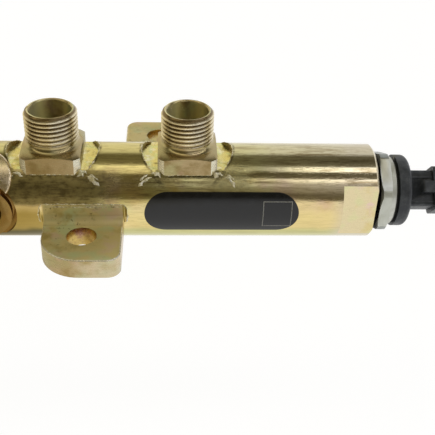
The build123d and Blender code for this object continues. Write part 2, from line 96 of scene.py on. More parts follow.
# ---------------------------------------------------------------- node graphs
class Graph:
    """A node tree with short ways to add and link nodes."""

    def __init__(self, tree: Tree) -> None:
        """Keep the tree that nodes are added to."""
        self.tree = tree

    def add(self, kind: str, inputs: dict | None = None, **settings: Any) -> Node:
        """Add one node.

        Args:
            kind: Blender's name of the node type.
            inputs: Values or sockets for the node's inputs, by name or number.
            **settings: Attributes to set before the inputs are filled.

        Returns:
            The new node.
        """
        node = self.tree.nodes.new(kind)
        for key, value in settings.items():
            setattr(node, key, value)
        for key, value in (inputs or {}).items():
            self.feed(node.inputs[key], value)
        return node

    def feed(self, socket: Socket, value: Any) -> None:
        """Link or set an input.

        Args:
            socket: The input.
            value: A socket to link, or a value to set; a colour may leave out its alpha.
        """
        if isinstance(value, Socket):
            self.tree.links.new(value, socket)
        elif socket.type == "RGBA" and len(value) == 3:
            socket.default_value = (*value, 1.0)
        else:
            socket.default_value = value

    def math(self, operation: str, a: Any, b: Any = 0.0, c: Any = 0.0, **settings: Any) -> Socket:
        """Return the value of a Math node on a, b and c."""
        node = self.add("ShaderNodeMath", {0: a, 1: b, 2: c}, operation=operation, **settings)
        return node.outputs[0]

    def plus(self, a: Any, b: Any) -> Socket:
        """Return a plus b."""
        return self.math("ADD", a, b)

    def minus(self, a: Any, b: Any) -> Socket:
        """Return a minus b."""
        return self.math("SUBTRACT", a, b)

    def times(self, a: Any, b: Any, plus: Any = None) -> Socket:
        """Return a times b, and plus a third value where one is given."""
        if plus is None:
            return self.math("MULTIPLY", a, b)
        return self.math("MULTIPLY_ADD", a, b, plus)

    def size(self, a: Any) -> Socket:
        """Return a without its sign."""
        return self.math("ABSOLUTE", a)

    def vector(self, operation: str, a: Any, b: Any) -> Socket:
        """Return the vector of a Vector Math node on a and b."""
        return self.add("ShaderNodeVectorMath", {0: a, 1: b}, operation=operation).outputs[0]

    def split(self, vector: Any) -> Sequence[Socket]:
        """Return the x, y and z of a vector."""
        return self.add("ShaderNodeSeparateXYZ", {0: vector}).outputs

    def blend(self, factor: Any, a: Any, b: Any, mode: str = "MIX") -> Socket:
        """Return the colour of a Mix node from a to b."""
        node = self.add("ShaderNodeMix", {0: factor, 6: a, 7: b}, data_type="RGBA", blend_type=mode)
        return node.outputs[2]

    def step(
        self, value: Any, low: float, high: float, at_low: float = 0.0, at_high: float = 1.0
    ) -> Socket:
        """Return value mapped smoothly from low..high to at_low..at_high, held outside."""
        sockets = {0: value, 1: low, 2: high, 3: at_low, 4: at_high}
        return self.add("ShaderNodeMapRange", sockets, interpolation_type="SMOOTHSTEP").outputs[0]

    def window(self, value: Any, start: float, full: float, fade: float, end: float) -> Socket:
        """Return the mask that rises from start to full and falls from fade to end."""
        return self.times(self.step(value, start, full), self.step(value, fade, end, 1.0, 0.0))

    def noise(self, vector: Any, scale: Any, detail: float, roughness: float) -> Socket:
        """Return the value of a Noise Texture."""
        sockets = {"Vector": vector, "Scale": scale, "Detail": detail, "Roughness": roughness}
        return self.add("ShaderNodeTexNoise", sockets).outputs[0]

    def wander(self, vector: Any, reach: float, *look: float) -> Socket:
        """Return a noise from -reach to reach; look is its scale, detail and roughness."""
        return self.times(self.noise(vector, *look), 2.0 * reach, -reach)


@dataclass(frozen=True)
class Layer:
    """A noise, and its share in a relief that is made of several."""

    scale: float
    detail: float
    roughness: float
    stretch: Triple = field(default=EVEN, kw_only=True)
    offset: Triple = field(default=NOWHERE, kw_only=True)
    share: float = field(default=1.0, kw_only=True)

    def value(self, g: Graph, at: Any, base: Any = None) -> Socket:
        """Build the noise.

        Args:
            g: The graph that gets its nodes.
            at: The coordinates.
            base: A socket that multiplies the scale, if there is one.

        Returns:
            The noise's value.
        """
        scale = self.scale if base is None else g.times(base, self.scale)
        drawn = at if self.stretch == EVEN else g.vector("MULTIPLY", at, self.stretch)
        moved = drawn if self.offset == NOWHERE else g.vector("ADD", drawn, self.offset)
        return g.noise(moved, scale, self.detail, self.roughness)


@dataclass(frozen=True)
class Patches(Layer):
    """A noise whose values from low to high become a mask from least to most."""

    low: float
    high: float
    least: float = 0.0
    most: float = 1.0

    def mask(self, g: Graph, at: Any, base: Any = None) -> Socket:
        """Return the mask; the arguments are those of value."""
        return g.step(self.value(g, at, base), self.low, self.high, self.least, self.most)


# ---------------------------------------------------------------- shared effects
PLATING_CLOUDS = {
    "Green": Patches(1.0, 2.0, 0.45, 0.46, 0.66),
    "Pink": Patches(1.0, 3.0, 0.55, 0.52, 0.72, offset=(0.31, 0.17, 0.05)),
    "Deep": Patches(0.8, 4.0, 0.60, 0.50, 0.68, offset=(0.11, 0.53, 0.29)),
}
CUTTER_LAYER = Layer(1.0, 2.0, 0.60)
FORGED_LAYERS = (
    Layer(1.0, 4.0, 0.62, share=0.45),
    Layer(2.4, 4.0, 0.70, stretch=(0.18, 1.0, 1.0), share=0.55),
)
GRAIN_LAYERS = (Layer(1.0, 2.0, 0.50), Layer(0.12, 1.0, 0.50, share=0.6))
GRIME_SPECKS = Patches(3.0, 3.0, 0.70, 0.60, 0.70)
GRIME_STREAKS = Patches(1.0, 4.0, 0.65, 0.60, 0.72, stretch=(0.35, 1.0, 1.0))
GRIME_PLACES = Patches(0.35, 2.0, 0.50, 0.50, 0.66, offset=(0.07, 0.41, 0.23))


def plating_cloud(g: Graph, given: Any) -> Socket:
    """Build the cloudy gold of chromated zinc, which drifts to green, pink and deep gold.

    Args:
        g: The group's graph.
        given: The group's inputs.

    Returns:
        The colour.
    """
    tint = given["Gold"]
    for name, patches in PLATING_CLOUDS.items():
        cloud = patches.mask(g, given["Vector"], given["Scale"])
        share = g.math("MULTIPLY", cloud, given["Drift"], use_clamp=True)
        tint = g.blend(share, tint, given[name])
    return tint


def cutter_marks(g: Graph, given: Any) -> Socket:
    """Return the height of the fine parallel marks that a cutter leaves."""
    drawn = g.vector("MULTIPLY", given["Vector"], given["Stretch"])
    return CUTTER_LAYER.value(g, drawn, given["Scale"])


def layered(g: Graph, given: Any, layers: Sequence[Layer]) -> Socket:
    """Build a relief by adding noises up.

    Args:
        g: The group's graph.
        given: The group's inputs.
        layers: The noises.

    Returns:
        The height.
    """
    at, scale = given["Vector"], given["Scale"]
    return reduce(g.plus, [g.times(layer.value(g, at, scale), layer.share) for layer in layers])


def grime(g: Graph, given: Any) -> Socket:
    """Build the small dark specks and short streaks of handling dirt.

    Args:
        g: The group's graph.
        given: The group's inputs.

    Returns:
        The mask.
    """
    kinds = (GRIME_SPECKS, GRIME_STREAKS, GRIME_PLACES)
    specks, streaks, places = (kind.mask(g, given["Vector"], given["Scale"]) for kind in kinds)
    dirt, amount = g.math("MAXIMUM", specks, streaks), g.times(places, given["Amount"])
    return g.math("MULTIPLY", dirt, amount, use_clamp=True)


class Effect(Enum):
    """The shader groups that finishes share, by the name of their tree."""

    PLATING = "plating_cloud"
    MARKS = "cutter_marks"
    FORGED = "forged_skin"
    GRAIN = "moulded_grain"
    GRIME = "grime"


@dataclass(frozen=True)
class EffectPlan:
    """How a shared effect is built, what it gives, and what it takes besides Vector and Scale."""

    build: Callable[[Graph, Any], Socket]
    output: str
    kind: str
    extra: dict[str, str]


TINT_SOCKETS = dict.fromkeys(("Gold", "Green", "Pink", "Deep"), COLOUR)
EFFECT_PLANS = {
    Effect.PLATING: EffectPlan(plating_cloud, "Colour", COLOUR, {**TINT_SOCKETS, "Drift": FLOAT}),
    Effect.MARKS: EffectPlan(cutter_marks, "Height", FLOAT, {"Stretch": VECTOR}),
    Effect.FORGED: EffectPlan(partial(layered, layers=FORGED_LAYERS), "Height", FLOAT, {}),
    Effect.GRAIN: EffectPlan(partial(layered, layers=GRAIN_LAYERS), "Height", FLOAT, {}),
    Effect.GRIME: EffectPlan(grime, "Mask", FLOAT, {"Amount": FLOAT}),
}


@cache
def effect_tree(which: Effect) -> Tree:
    """Build the tree of a shared effect, once for the whole scene.

    Args:
        which: The effect.

    Returns:
        The shader group.
    """
    plan = EFFECT_PLANS[which]
    tree = bpy.data.node_groups.new(which.value, "ShaderNodeTree")
    for name, kind in {"Vector": VECTOR, "Scale": FLOAT, **plan.extra}.items():
        tree.interface.new_socket(name=name, in_out="INPUT", socket_type=kind)
    tree.interface.new_socket(name=plan.output, in_out="OUTPUT", socket_type=plan.kind)
    g = Graph(tree)
    made = plan.build(g, g.add("NodeGroupInput").outputs)
    g.add("NodeGroupOutput", {plan.output: made})
    return tree


def cleared(owner: Any) -> Tree:
    """Return the node tree of a material or a world, emptied."""
    owner.use_nodes = True
    owner.node_tree.nodes.clear()
    return owner.node_tree


class Coat(Graph):
    """A material's graph, with its Principled shader and its Object coordinates."""

    def __init__(self, name: str, metallic: float, roughness: float = 0.5) -> None:
        """Start the material.

        Args:
            name: The material's name.
            metallic: The shader's metallic.
            roughness: The shader's roughness, where the finish gives none of its own.
        """
        self.material = bpy.data.materials.new(name)
        super().__init__(cleared(self.material))
        sockets = {"Roughness": roughness, "Metallic": metallic}
        self.surface = self.add("ShaderNodeBsdfPrincipled", sockets)
        self.add("ShaderNodeOutputMaterial", {"Surface": self.surface.outputs[0]})
        self.at = self.add("ShaderNodeTexCoord").outputs["Object"]

    def effect(self, which: Effect, scale: float, **extra: Any) -> Socket:
        """Place a shared effect and return what it gives."""
        sockets = {"Vector": self.at, "Scale": scale, **extra}
        return self.add("ShaderNodeGroup", sockets, node_tree=effect_tree(which)).outputs[0]

    def wear(
        self, colour: Any, rough: Any = None, height: Any = None, depth: float = 1.0
    ) -> Material:
        """Feed the finish to the shader.

        Args:
            colour: The base colour.
            rough: The roughness, where it changes over the surface.
            height: The height for a bump, if there is one.
            depth: How deep a full step of the height is, in metres.

        Returns:
            The material.
        """
        self.feed(self.surface.inputs["Base Color"], colour)
        if rough is not None:
            self.feed(self.surface.inputs["Roughness"], rough)
        if height is not None:
            sockets = {"Height": height, "Distance": depth, "Strength": 1.0}
            bump = self.add("ShaderNodeBump", sockets)
            self.feed(self.surface.inputs["Normal"], bump.outputs[0])
        return self.material


def around_outlet(g: Graph, at: Any) -> Sequence[Socket]:
    """Measure from the axis of the nearest outlet.

    Args:
        g: The graph that gets the nodes.
        at: The coordinates.

    Returns:
        How far to the right, how far back and how far out in all.
    """
    x, y, _ = g.split(at)
    pitch, last = OUTLET_X[1] - OUTLET_X[0], len(OUTLET_X) - 1.0
    from_first = g.minus(x, OUTLET_X[0])
    nearest = g.math("ROUND", g.math("DIVIDE", from_first, pitch))
    turn = g.math("MINIMUM", g.math("MAXIMUM", nearest, 0.0), last)
    aside, back = g.minus(from_first, g.times(turn, pitch)), g.minus(y, RAIL_AXIS_Y)
    return aside, back, g.math("SQRT", g.plus(g.times(aside, aside), g.times(back, back)))


# ---------------------------------------------------------------- finishes
@dataclass(frozen=True)
class YellowZinc:
    """Yellow chromated zinc over a machined face: drifting tint, cutter marks and some dirt."""

    name: str
    gold: Colour
    green: Colour
    pink: Colour
    deep: Colour
    cloud_scale: float
    roughness: tuple[float, float]
    grime: float
    drift: float = 0.7
    marks_stretch: Triple = EVEN
    marks_scale: float = 1500.0
    marks_height: float = 0.000015
    marks_span: Ramp = (0.3, 0.7)
    grime_scale: float = 260.0
    grime_colour: Colour = (0.16, 0.11, 0.04)
    grime_rough: float = 0.25
    metallic: float = 1.0

    def build(self) -> Material:
        """Return the material."""
        g = Coat(self.name, self.metallic)
        return g.wear(*self.parts(g))

    def parts(self, g: Coat) -> tuple[Socket, ...]:
        """Build the finish without its shader.

        Args:
            g: The material's graph.

        Returns:
            The colour, roughness and height sockets; the height is in metres.
        """
        tints = {"Gold": self.gold, "Green": self.green, "Pink": self.pink, "Deep": self.deep}
        cloud = g.effect(Effect.PLATING, self.cloud_scale, Drift=self.drift, **tints)
        dirt = g.effect(Effect.GRIME, self.grime_scale, Amount=self.grime)
        marks = g.effect(Effect.MARKS, self.marks_scale, Stretch=self.marks_stretch)
        rough = g.times(dirt, self.grime_rough, g.step(marks, *self.marks_span, *self.roughness))
        colour = g.blend(dirt, cloud, self.grime_colour)
        return colour, rough, g.times(marks, self.marks_height)


@dataclass(frozen=True)
class BoreZinc(YellowZinc):
    """Yellow zinc in the bores of the outlets, with a painted highlight on the left and painted
    brown shade in the middle.
    """

    # painted highlight: pale is the bright tint laid on the left of each bore
    pale: Colour = (0.98, 0.96, 0.64)
    highlight_side: Ramp = (-4.2 * MM, -0.8 * MM, 0.65, 0.0)
    # painted shade: brown is laid in the middle of each bore
    brown: Colour = (0.12, 0.085, 0.045)
    shade_share: float = 0.45
    shade_window: Window = (-2.2 * MM, 0.2 * MM, 2.0 * MM, 5.0 * MM)

    def parts(self, g: Coat) -> tuple[Socket, ...]:
        """Build the finish without its shader, as YellowZinc does.

        Args:
            g: The material's graph.

        Returns:
            The colour, roughness and height sockets.
        """
        colour, rough, height = super().parts(g)
        aside = around_outlet(g, g.at)[0]
        # painted highlight on the left of the bore
        colour = g.blend(g.step(aside, *self.highlight_side), colour, self.pale)
        # painted shade in the middle of the bore
        middle = g.times(g.window(aside, *self.shade_window), self.shade_share)
        return g.blend(middle, colour, self.brown), rough, height


@dataclass(frozen=True)
class Wash:
    """A tint that comes in as the height goes from start to full, up to its share."""

    tint: Colour
    start: float
    full: float
    share: float

    def over(self, g: Graph, colour: Socket, height: Socket, mask: Any = 1.0) -> Socket:
        """Lay the tint over a colour.

        Args:
            g: The graph that gets the nodes.
            colour: The colour under it.
            height: The height that it follows.
            mask: Where the tint may be.

        Returns:
            The new colour.
        """
        share = g.step(height, self.start, self.full, 0.0, self.share)
        return g.blend(g.times(share, mask), colour, self.tint)


@dataclass(frozen=True)
class TubeZinc:
    """Yellow zinc on the tube: smooth where it was turned, dark and scaly where left forged."""

    name: str = "tube_yellow_zinc"
    turned: YellowZinc = YellowZinc(
        "turned", gold=(0.78, 0.62, 0.31), green=(0.72, 0.66, 0.32), pink=(0.68, 0.48, 0.33),
        deep=(0.60, 0.43, 0.12), drift=0.9, cloud_scale=55.0, roughness=(0.05, 0.11),
        marks_stretch=(0.07, 1.0, 1.0), marks_scale=1300.0, marks_height=0.000005, grime=0.2,
    )
    level_wander: Wander = (2.0 * MM, 90.0, 2.0, 0.5)
    washes: tuple[Wash, ...] = (
        Wash((0.70, 0.67, 0.35), 19.0 * MM, 26.0 * MM, 0.75),
        Wash((0.80, 0.65, 0.28), 13.0 * MM, 9.5 * MM, 0.75),
        Wash((0.52, 0.53, 0.22), 5.0 * MM, 2.0 * MM, 0.80),
    )
    silver: Colour = (0.66, 0.58, 0.47)
    silver_right: Ramp = (80.0 * MM, 128.0 * MM, 0.0, 0.6)
    silver_upper: Ramp = (15.0 * MM, 17.5 * MM)
    silver_end: Ramp = (117.0 * MM, 126.0 * MM, 0.0, 0.7)
    # painted shade and dark reflection: the left of the tube is darkened, nearly black at the
    # bottom
    left_side: Ramp = (22.0 * MM, 40.0 * MM, 1.0, 0.0)
    left_washes: tuple[Wash, ...] = (
        Wash((0.42, 0.30, 0.065), 13.5 * MM, 9.2 * MM, 0.75),
        Wash((0.10, 0.095, 0.035), 4.6 * MM, 1.4 * MM, 0.9),
    )
    streaks: Patches = Patches(620.0, 4.0, 0.65, 0.47, 0.68, stretch=(0.10, 1.0, 1.0))
    streak_places: Patches = Patches(60.0, 2.0, 0.5, 0.34, 0.62, 0.45, 1.0)
    streak_upper: Ramp = (12.5 * MM, 16.5 * MM, 0.30, 1.0)
    streak_brown: Colour = (0.26, 0.18, 0.07)
    streak_share: float = 0.78
    streak_rough: float = 0.05
    grit: Patches = Patches(1500.0, 3.0, 0.7, 0.48, 0.66, stretch=(0.16, 1.0, 1.0))
    grit_share: float = 0.7
    grit_depth: float = 0.000005
    # painted shade and dirt: a dark brown line at the feet of the bosses and round the spotface
    # rims
    dirt: Patches = Patches(420.0, 3.0, 0.6, 0.40, 0.56, 0.25, 1.0)
    shade_and_dirt_upper: Ramp = (19.5 * MM, 21.5 * MM)
    shade_and_dirt_brown: Colour = (0.07, 0.05, 0.02)
    shade_and_dirt_share: float = 0.7
    foot_shade_and_dirt: Ramp = (0.3 * MM, 1.1 * MM, 1.0, 0.0)
    rim_shade_and_dirt: Ramp = (0.2 * MM, 0.8 * MM, 1.0, 0.0)
    rim_radius: float = SPOTFACE_RADIUS + 0.3 * MM
    forged_share: float = 0.88
    forged_rough: float = 0.28
    forged_wander: Wander = (5.0 * MM, 110.0, 3.0, 0.6)
    forged_ends: Ramp = (36.0 * MM, 50.0 * MM, 1.0, 0.0)
    forged_top: Ramp = (22.5 * MM, 24.5 * MM, 1.0, 0.0)
    forged_foot: Ramp = (12.5 * MM, 14.5 * MM)
    top_wander: float = 0.4
    foot_wander: float = 0.3
    forged_front: Ramp = (18.0 * MM, 22.0 * MM, 1.0, 0.0)
    patch_x: float = OUTLET_X[3] + 14.0 * MM
    patch_reach: Ramp = (2.0 * MM, 11.0 * MM, 0.45, 0.0)
    patch_upper: Ramp = (14.5 * MM, 18.5 * MM)
    scale_size: float = 480.0
    scale_span: Ramp = (0.38, 0.60)
    scale_dark: Colour = (0.12, 0.09, 0.03)
    scale_light: Colour = (0.36, 0.29, 0.11)
    scale_height: float = 0.00016

    def build(self) -> Material:
        """Return the material."""
        g = Coat(self.name, 1.0)
        colour, rough, height = self.turned.parts(g)
        x, _, z = g.split(g.at)
        uneven = g.wander(g.at, *self.level_wander)
        level = g.plus(z, uneven)
        colour = self._washed(g, colour, x, uneven, level)
        grit = self.grit.mask(g, g.at)
        fresh = g.math("MAXIMUM", self.streaks.mask(g, g.at), g.times(grit, self.grit_share))
        streak = g.times(fresh, self.streak_places.mask(g, g.at))
        upper = g.times(streak, g.step(level, *self.streak_upper))
        colour = g.blend(g.times(upper, self.streak_share), colour, self.streak_brown)
        # painted shade and dirt in the corners
        colour = g.blend(g.times(self._corner_shade_and_dirt(g), self.shade_and_dirt_share), colour, self.shade_and_dirt_brown)
        forged, skin = self._forged(g), g.effect(Effect.FORGED, self.scale_size)
        scale = g.blend(g.step(skin, *self.scale_span), self.scale_dark, self.scale_light)
        colour = g.blend(g.times(forged, self.forged_share), colour, scale)
        rough = g.times(forged, self.forged_rough, g.times(streak, self.streak_rough, rough))
        relief = g.times(skin, g.times(forged, self.scale_height))
        return g.wear(colour, rough, g.plus(g.times(grit, -self.grit_depth, height), relief))

    def _washed(self, g: Coat, colour: Socket, x: Socket, uneven: Socket, level: Socket) -> Socket:
        """Lay the tints that change with height and that of the right end, and paint shade and a
        dark reflection on the lower left.

        Args:
            g: The material's graph.
            colour: The turned face's colour.
            x: The place along the rail.
            uneven: The wander of the tints' edges.
            level: The height with that wander in it.

        Returns:
            The new colour.
        """
        for wash in self.washes:
            colour = wash.over(g, colour, level)
        silvery = g.times(g.step(x, *self.silver_right), g.step(level, *self.silver_upper))
        silvery = g.math("MAXIMUM", silvery, g.step(x, *self.silver_end))
        colour = g.blend(silvery, colour, self.silver)
        # painted shade and dark reflection on the lower left
        left = g.step(g.plus(x, uneven), *self.left_side)
        for wash in self.left_washes:
            colour = wash.over(g, colour, level, left)
        return colour

    def _corner_shade_and_dirt(self, g: Coat) -> Socket:
        """Mask the painted shade and dirt at the feet of the bosses and round the rims of their
        spotfaces.

        Args:
            g: The material's graph.

        Returns:
            The mask.
        """
        aside, back, out = around_outlet(g, g.at)
        past = g.minus(g.size(aside), UNION_HALF_WIDTH), g.minus(g.size(back), UNION_HALF_DEPTH)
        foot = g.step(g.math("MAXIMUM", *past), *self.foot_shade_and_dirt)
        rim = g.step(g.size(g.minus(out, self.rim_radius)), *self.rim_shade_and_dirt)
        upper = g.step(g.split(g.at)[2], *self.shade_and_dirt_upper)
        return g.times(g.times(g.math("MAXIMUM", foot, rim), upper), self.dirt.mask(g, g.at))

    def _forged(self, g: Coat) -> Socket:
        """Mask the unturned band above the label and the smaller patch beside the last outlet.

        Args:
            g: The material's graph.

        Returns:
            The mask.
        """
        x, y, z = g.split(g.at)
        wander = g.wander(g.at, *self.forged_wander)
        ends = g.step(g.size(g.plus(x, wander)), *self.forged_ends)
        upper = g.step(g.times(wander, self.top_wander, z), *self.forged_top)
        lower = g.step(g.times(wander, self.foot_wander, z), *self.forged_foot)
        front = g.step(y, *self.forged_front)
        band = g.times(g.times(ends, upper), g.times(lower, front))
        from_patch = g.size(g.plus(g.minus(x, self.patch_x), wander))
        patch = g.times(g.step(from_patch, *self.patch_reach), g.step(z, *self.patch_upper))
        return g.math("MAXIMUM", band, g.times(patch, front))


MILLED_ZINC = YellowZinc(
    "milled_yellow_zinc", gold=(0.78, 0.68, 0.26), green=(0.70, 0.72, 0.34),
    pink=(0.92, 0.84, 0.56), deep=(0.44, 0.36, 0.11), drift=0.9, cloud_scale=360.0,
    roughness=(0.20, 0.34), marks_stretch=(1.0, 0.25, 0.25), marks_height=0.000014, grime=1.0,
    grime_scale=420.0,
)
FLAT_ZINC = YellowZinc(
    "flat_yellow_zinc", gold=(0.75, 0.64, 0.39), green=(0.71, 0.67, 0.37),
    pink=(0.77, 0.57, 0.49), deep=(0.71, 0.57, 0.27), drift=0.9, cloud_scale=170.0,
    roughness=(0.16, 0.28), marks_stretch=(0.25, 1.0, 1.0), marks_height=0.000008, grime=0.3,
)
FACET_ZINC = YellowZinc(
    "facet_yellow_zinc", gold=(0.42, 0.32, 0.17), green=(0.42, 0.38, 0.19),
    pink=(0.42, 0.27, 0.19), deep=(0.27, 0.19, 0.075), drift=0.9, cloud_scale=110.0,
    roughness=(0.18, 0.30), marks_stretch=(0.2, 0.2, 1.0), marks_height=0.00001, grime=0.4,
)
TURNED_ZINC = YellowZinc(
    "spigot_yellow_zinc", gold=(0.46, 0.37, 0.19), green=(0.42, 0.40, 0.22),
    pink=(0.52, 0.38, 0.28), deep=(0.34, 0.26, 0.11), drift=0.5, cloud_scale=140.0,
    roughness=(0.20, 0.30), marks_stretch=(0.03, 0.03, 1.0), marks_scale=1800.0,
    marks_height=0.000006, grime=0.4,
)
LUG_ZINC = YellowZinc(
    "lug_yellow_zinc", metallic=0.3, gold=(0.72, 0.60, 0.26), green=(0.62, 0.64, 0.32),
    pink=(0.74, 0.57, 0.36), deep=(0.48, 0.37, 0.12), drift=0.95, cloud_scale=120.0,
    roughness=(0.34, 0.50), marks_stretch=(1.0, 0.3, 0.3), marks_height=0.00001, grime=0.9,
)
# painted shade: a darker copy of the lug's zinc for the fillet in the crease over each lug
CREASE_SHADE_ZINC = replace(
    LUG_ZINC, name="crease_zinc", gold=(0.64, 0.53, 0.24), green=(0.56, 0.57, 0.29),
    pink=(0.66, 0.50, 0.32), deep=(0.42, 0.31, 0.09), roughness=(0.42, 0.58), grime=1.0,
)
CUT_ZINC = YellowZinc(
    "cutter_wall_zinc", gold=(0.30, 0.23, 0.08), green=(0.26, 0.25, 0.10),
    pink=(0.34, 0.22, 0.13), deep=(0.16, 0.11, 0.04), cloud_scale=200.0, roughness=(0.22, 0.36),
    marks_height=0.00001, grime=0.6,
)
BORE_ZINC = BoreZinc(
    "bore_yellow_zinc", metallic=0.6, gold=(0.60, 0.51, 0.24), green=(0.56, 0.57, 0.28),
    pink=(0.42, 0.29, 0.19), deep=(0.30, 0.22, 0.08), drift=0.9, cloud_scale=150.0,
    roughness=(0.14, 0.26), marks_stretch=(0.03, 0.03, 1.0), marks_height=0.000014, grime=0.6,
)
BURR_ZINC = YellowZinc(
    "burr_zinc", metallic=0.6, gold=(0.86, 0.77, 0.52), green=(0.70, 0.66, 0.40),
    pink=(0.92, 0.86, 0.72), deep=(0.30, 0.22, 0.08), drift=1.0, cloud_scale=420.0,
    roughness=(0.20, 0.34), grime=0.8,
)
CHIP_ZINC = YellowZinc(
    "chip_zinc", metallic=0.4, gold=(0.88, 0.82, 0.62), green=(0.74, 0.70, 0.46),
    pink=(0.96, 0.93, 0.84), deep=(0.52, 0.44, 0.22), drift=1.0, cloud_scale=340.0,
    roughness=(0.24, 0.38), grime=0.3,
)
RIM_ZINC = YellowZinc(
    "rim_zinc", gold=(0.66, 0.55, 0.36), green=(0.56, 0.53, 0.32), pink=(0.70, 0.53, 0.42),
    deep=(0.48, 0.37, 0.17), drift=0.9, cloud_scale=110.0, roughness=(0.22, 0.36),
    marks_stretch=(0.3, 0.3, 1.0), marks_height=0.000008, grime=0.5,
)
# painted highlight: near-white zinc on the lugs' lower edges and the bosses' corners
HIGHLIGHT_LINE_ZINC = YellowZinc(
    "edge_zinc", metallic=0.5, gold=(0.94, 0.88, 0.72), green=(0.88, 0.85, 0.66),
    pink=(0.95, 0.86, 0.76), deep=(0.76, 0.66, 0.42), cloud_scale=160.0, roughness=(0.18, 0.30),
    grime=0.1,
)
PAD_ZINC = YellowZinc(
    "pad_zinc", gold=(0.86, 0.72, 0.52), green=(0.74, 0.66, 0.40), pink=(0.88, 0.68, 0.58),
    deep=(0.70, 0.52, 0.26), drift=0.9, cloud_scale=140.0, roughness=(0.24, 0.34), grime=0.4,
)
HOLE_ZINC = YellowZinc(
    "hole_zinc", gold=(0.60, 0.43, 0.14), green=(0.52, 0.44, 0.18), pink=(0.34, 0.17, 0.15),
    deep=(0.30, 0.19, 0.07), drift=1.0, cloud_scale=130.0, roughness=(0.22, 0.36), grime=0.5,
)
# painted shade and dark reflection: the inlet's front face is coloured dark brown
INLET_SHADE_ZINC = YellowZinc(
    "inlet_brown_zinc", gold=(0.32, 0.19, 0.055), green=(0.28, 0.19, 0.06),
    pink=(0.34, 0.18, 0.09), deep=(0.20, 0.12, 0.04), cloud_scale=120.0, roughness=(0.24, 0.38),
    marks_stretch=(1.0, 0.3, 1.0), marks_height=0.000012, grime=0.5,
)


@dataclass(frozen=True)
class GapShadeBlack:
    """Near-black on the closed-in faces where the sensor is screwed against the rail: painted shade
    for the shadow in that gap.
    """

    name: str = "joint_black"
    black: Colour = (0.012, 0.011, 0.010)
    brown: Colour = (0.030, 0.024, 0.015)
    browned: Patches = Patches(300.0, 3.0, 0.5, 0.4, 0.7)
    roughness: float = 0.55

    def build(self) -> Material:
        """Return the material."""
        g = Coat(self.name, 0.0, self.roughness)
        return g.wear(g.blend(self.browned.mask(g, g.at), self.black, self.brown))


@dataclass(frozen=True)
class ThreadZinc:
    """Yellow zinc on a thread: bright worn crests over valleys painted dark as shade, with a
    painted highlight down the right front.
    """

    name: str = "thread_yellow_zinc"
    crest: Colour = (0.92, 0.81, 0.56)
    # painted shade: valley is the dark colour laid in the thread's roots
    valley: Colour = (0.22, 0.155, 0.065)
    crest_radius: float = 8.95 * MM
    valley_radius: float = 8.25 * MM
    flecks: Patches = Patches(900.0, 3.0, 0.7, 0.60, 0.68)
    fleck_colour: Colour = (0.95, 0.92, 0.80)
    metallic: float = 0.75
    # painted highlight: lit_colour is laid in a column on the right front of each thread
    lit_share: float = 0.5
    lit_colour: Colour = (1.0, 0.94, 0.80)
    lit_window: Window = (0.0, 3.6 * MM, 4.2 * MM, 7.8 * MM)
    rough: Patches = Patches(300.0, 3.0, 0.5, 0.35, 0.65, 0.18, 0.30)
    dents: Layer = Layer(1100.0, 3.0, 0.6)
    dent_depth: float = 0.00003

    def build(self) -> Material:
        """Return the material."""
        g = Coat(self.name, self.metallic)
        aside, _, out = around_outlet(g, g.at)
        crest = g.step(out, self.valley_radius, self.crest_radius)
        worn = g.blend(g.times(self.flecks.mask(g, g.at), crest), self.crest, self.fleck_colour)
        # painted highlight column, paler and less metallic
        lit = g.times(g.window(aside, *self.lit_window), self.lit_share)
        # painted shade in the valleys, under the crests
        colour = g.blend(crest, self.valley, g.blend(lit, worn, self.lit_colour))
        g.feed(g.surface.inputs["Metallic"], g.minus(self.metallic, lit))
        dents = self.dents.value(g, g.at)
        return g.wear(colour, self.rough.mask(g, g.at), dents, self.dent_depth)


@dataclass(frozen=True)
class PlainMetal:
    """A bright or dull metal with cutter marks and a little cloud."""

    name: str
    colour: Colour
    shade: Colour
    roughness: float = 0.28
    stretch: Triple = (1.0, 0.1, 0.1)
    metallic: float = 1.0
    cloud: Patches = Patches(160.0, 4.0, 0.6, 0.35, 0.7)
    marks_scale: float = 1800.0
    marks_depth: float = 0.000006
    marks_span: Ramp = (0.3, 0.7)
    rough_spread: tuple[float, float] = (0.8, 1.25)

    def build(self) -> Material:
        """Return the material."""
        g = Coat(self.name, self.metallic)
        marks = g.effect(Effect.MARKS, self.marks_scale, Stretch=self.stretch)
        roughest = (self.roughness * share for share in self.rough_spread)
        rough = g.step(marks, *self.marks_span, *roughest)
        colour = g.blend(self.cloud.mask(g, g.at), self.colour, self.shade)
        return g.wear(colour, rough, marks, self.marks_depth)


@dataclass(frozen=True)
class MouldedPlastic:
    """Plastic with a fine moulded grain."""

    name: str
    colour: Colour
    worn: Colour
    roughness: float = 0.42
    grain_depth: float = 0.00003
    grain_scale: float = 2200.0
    grain_span: Ramp = (0.5, 1.1)
    cloud: Patches = Patches(220.0, 4.0, 0.65, 0.4, 0.75)
    rough_spread: tuple[float, float] = (0.85, 1.2)

    def build(self) -> Material:
        """Return the material."""
        g = Coat(self.name, 0.0)
        grain = g.effect(Effect.GRAIN, self.grain_scale)
        roughest = (self.roughness * share for share in self.rough_spread)
        rough = g.step(grain, *self.grain_span, *roughest)
        colour = g.blend(self.cloud.mask(g, g.at), self.colour, self.worn)
        return g.wear(colour, rough, grain, self.grain_depth)


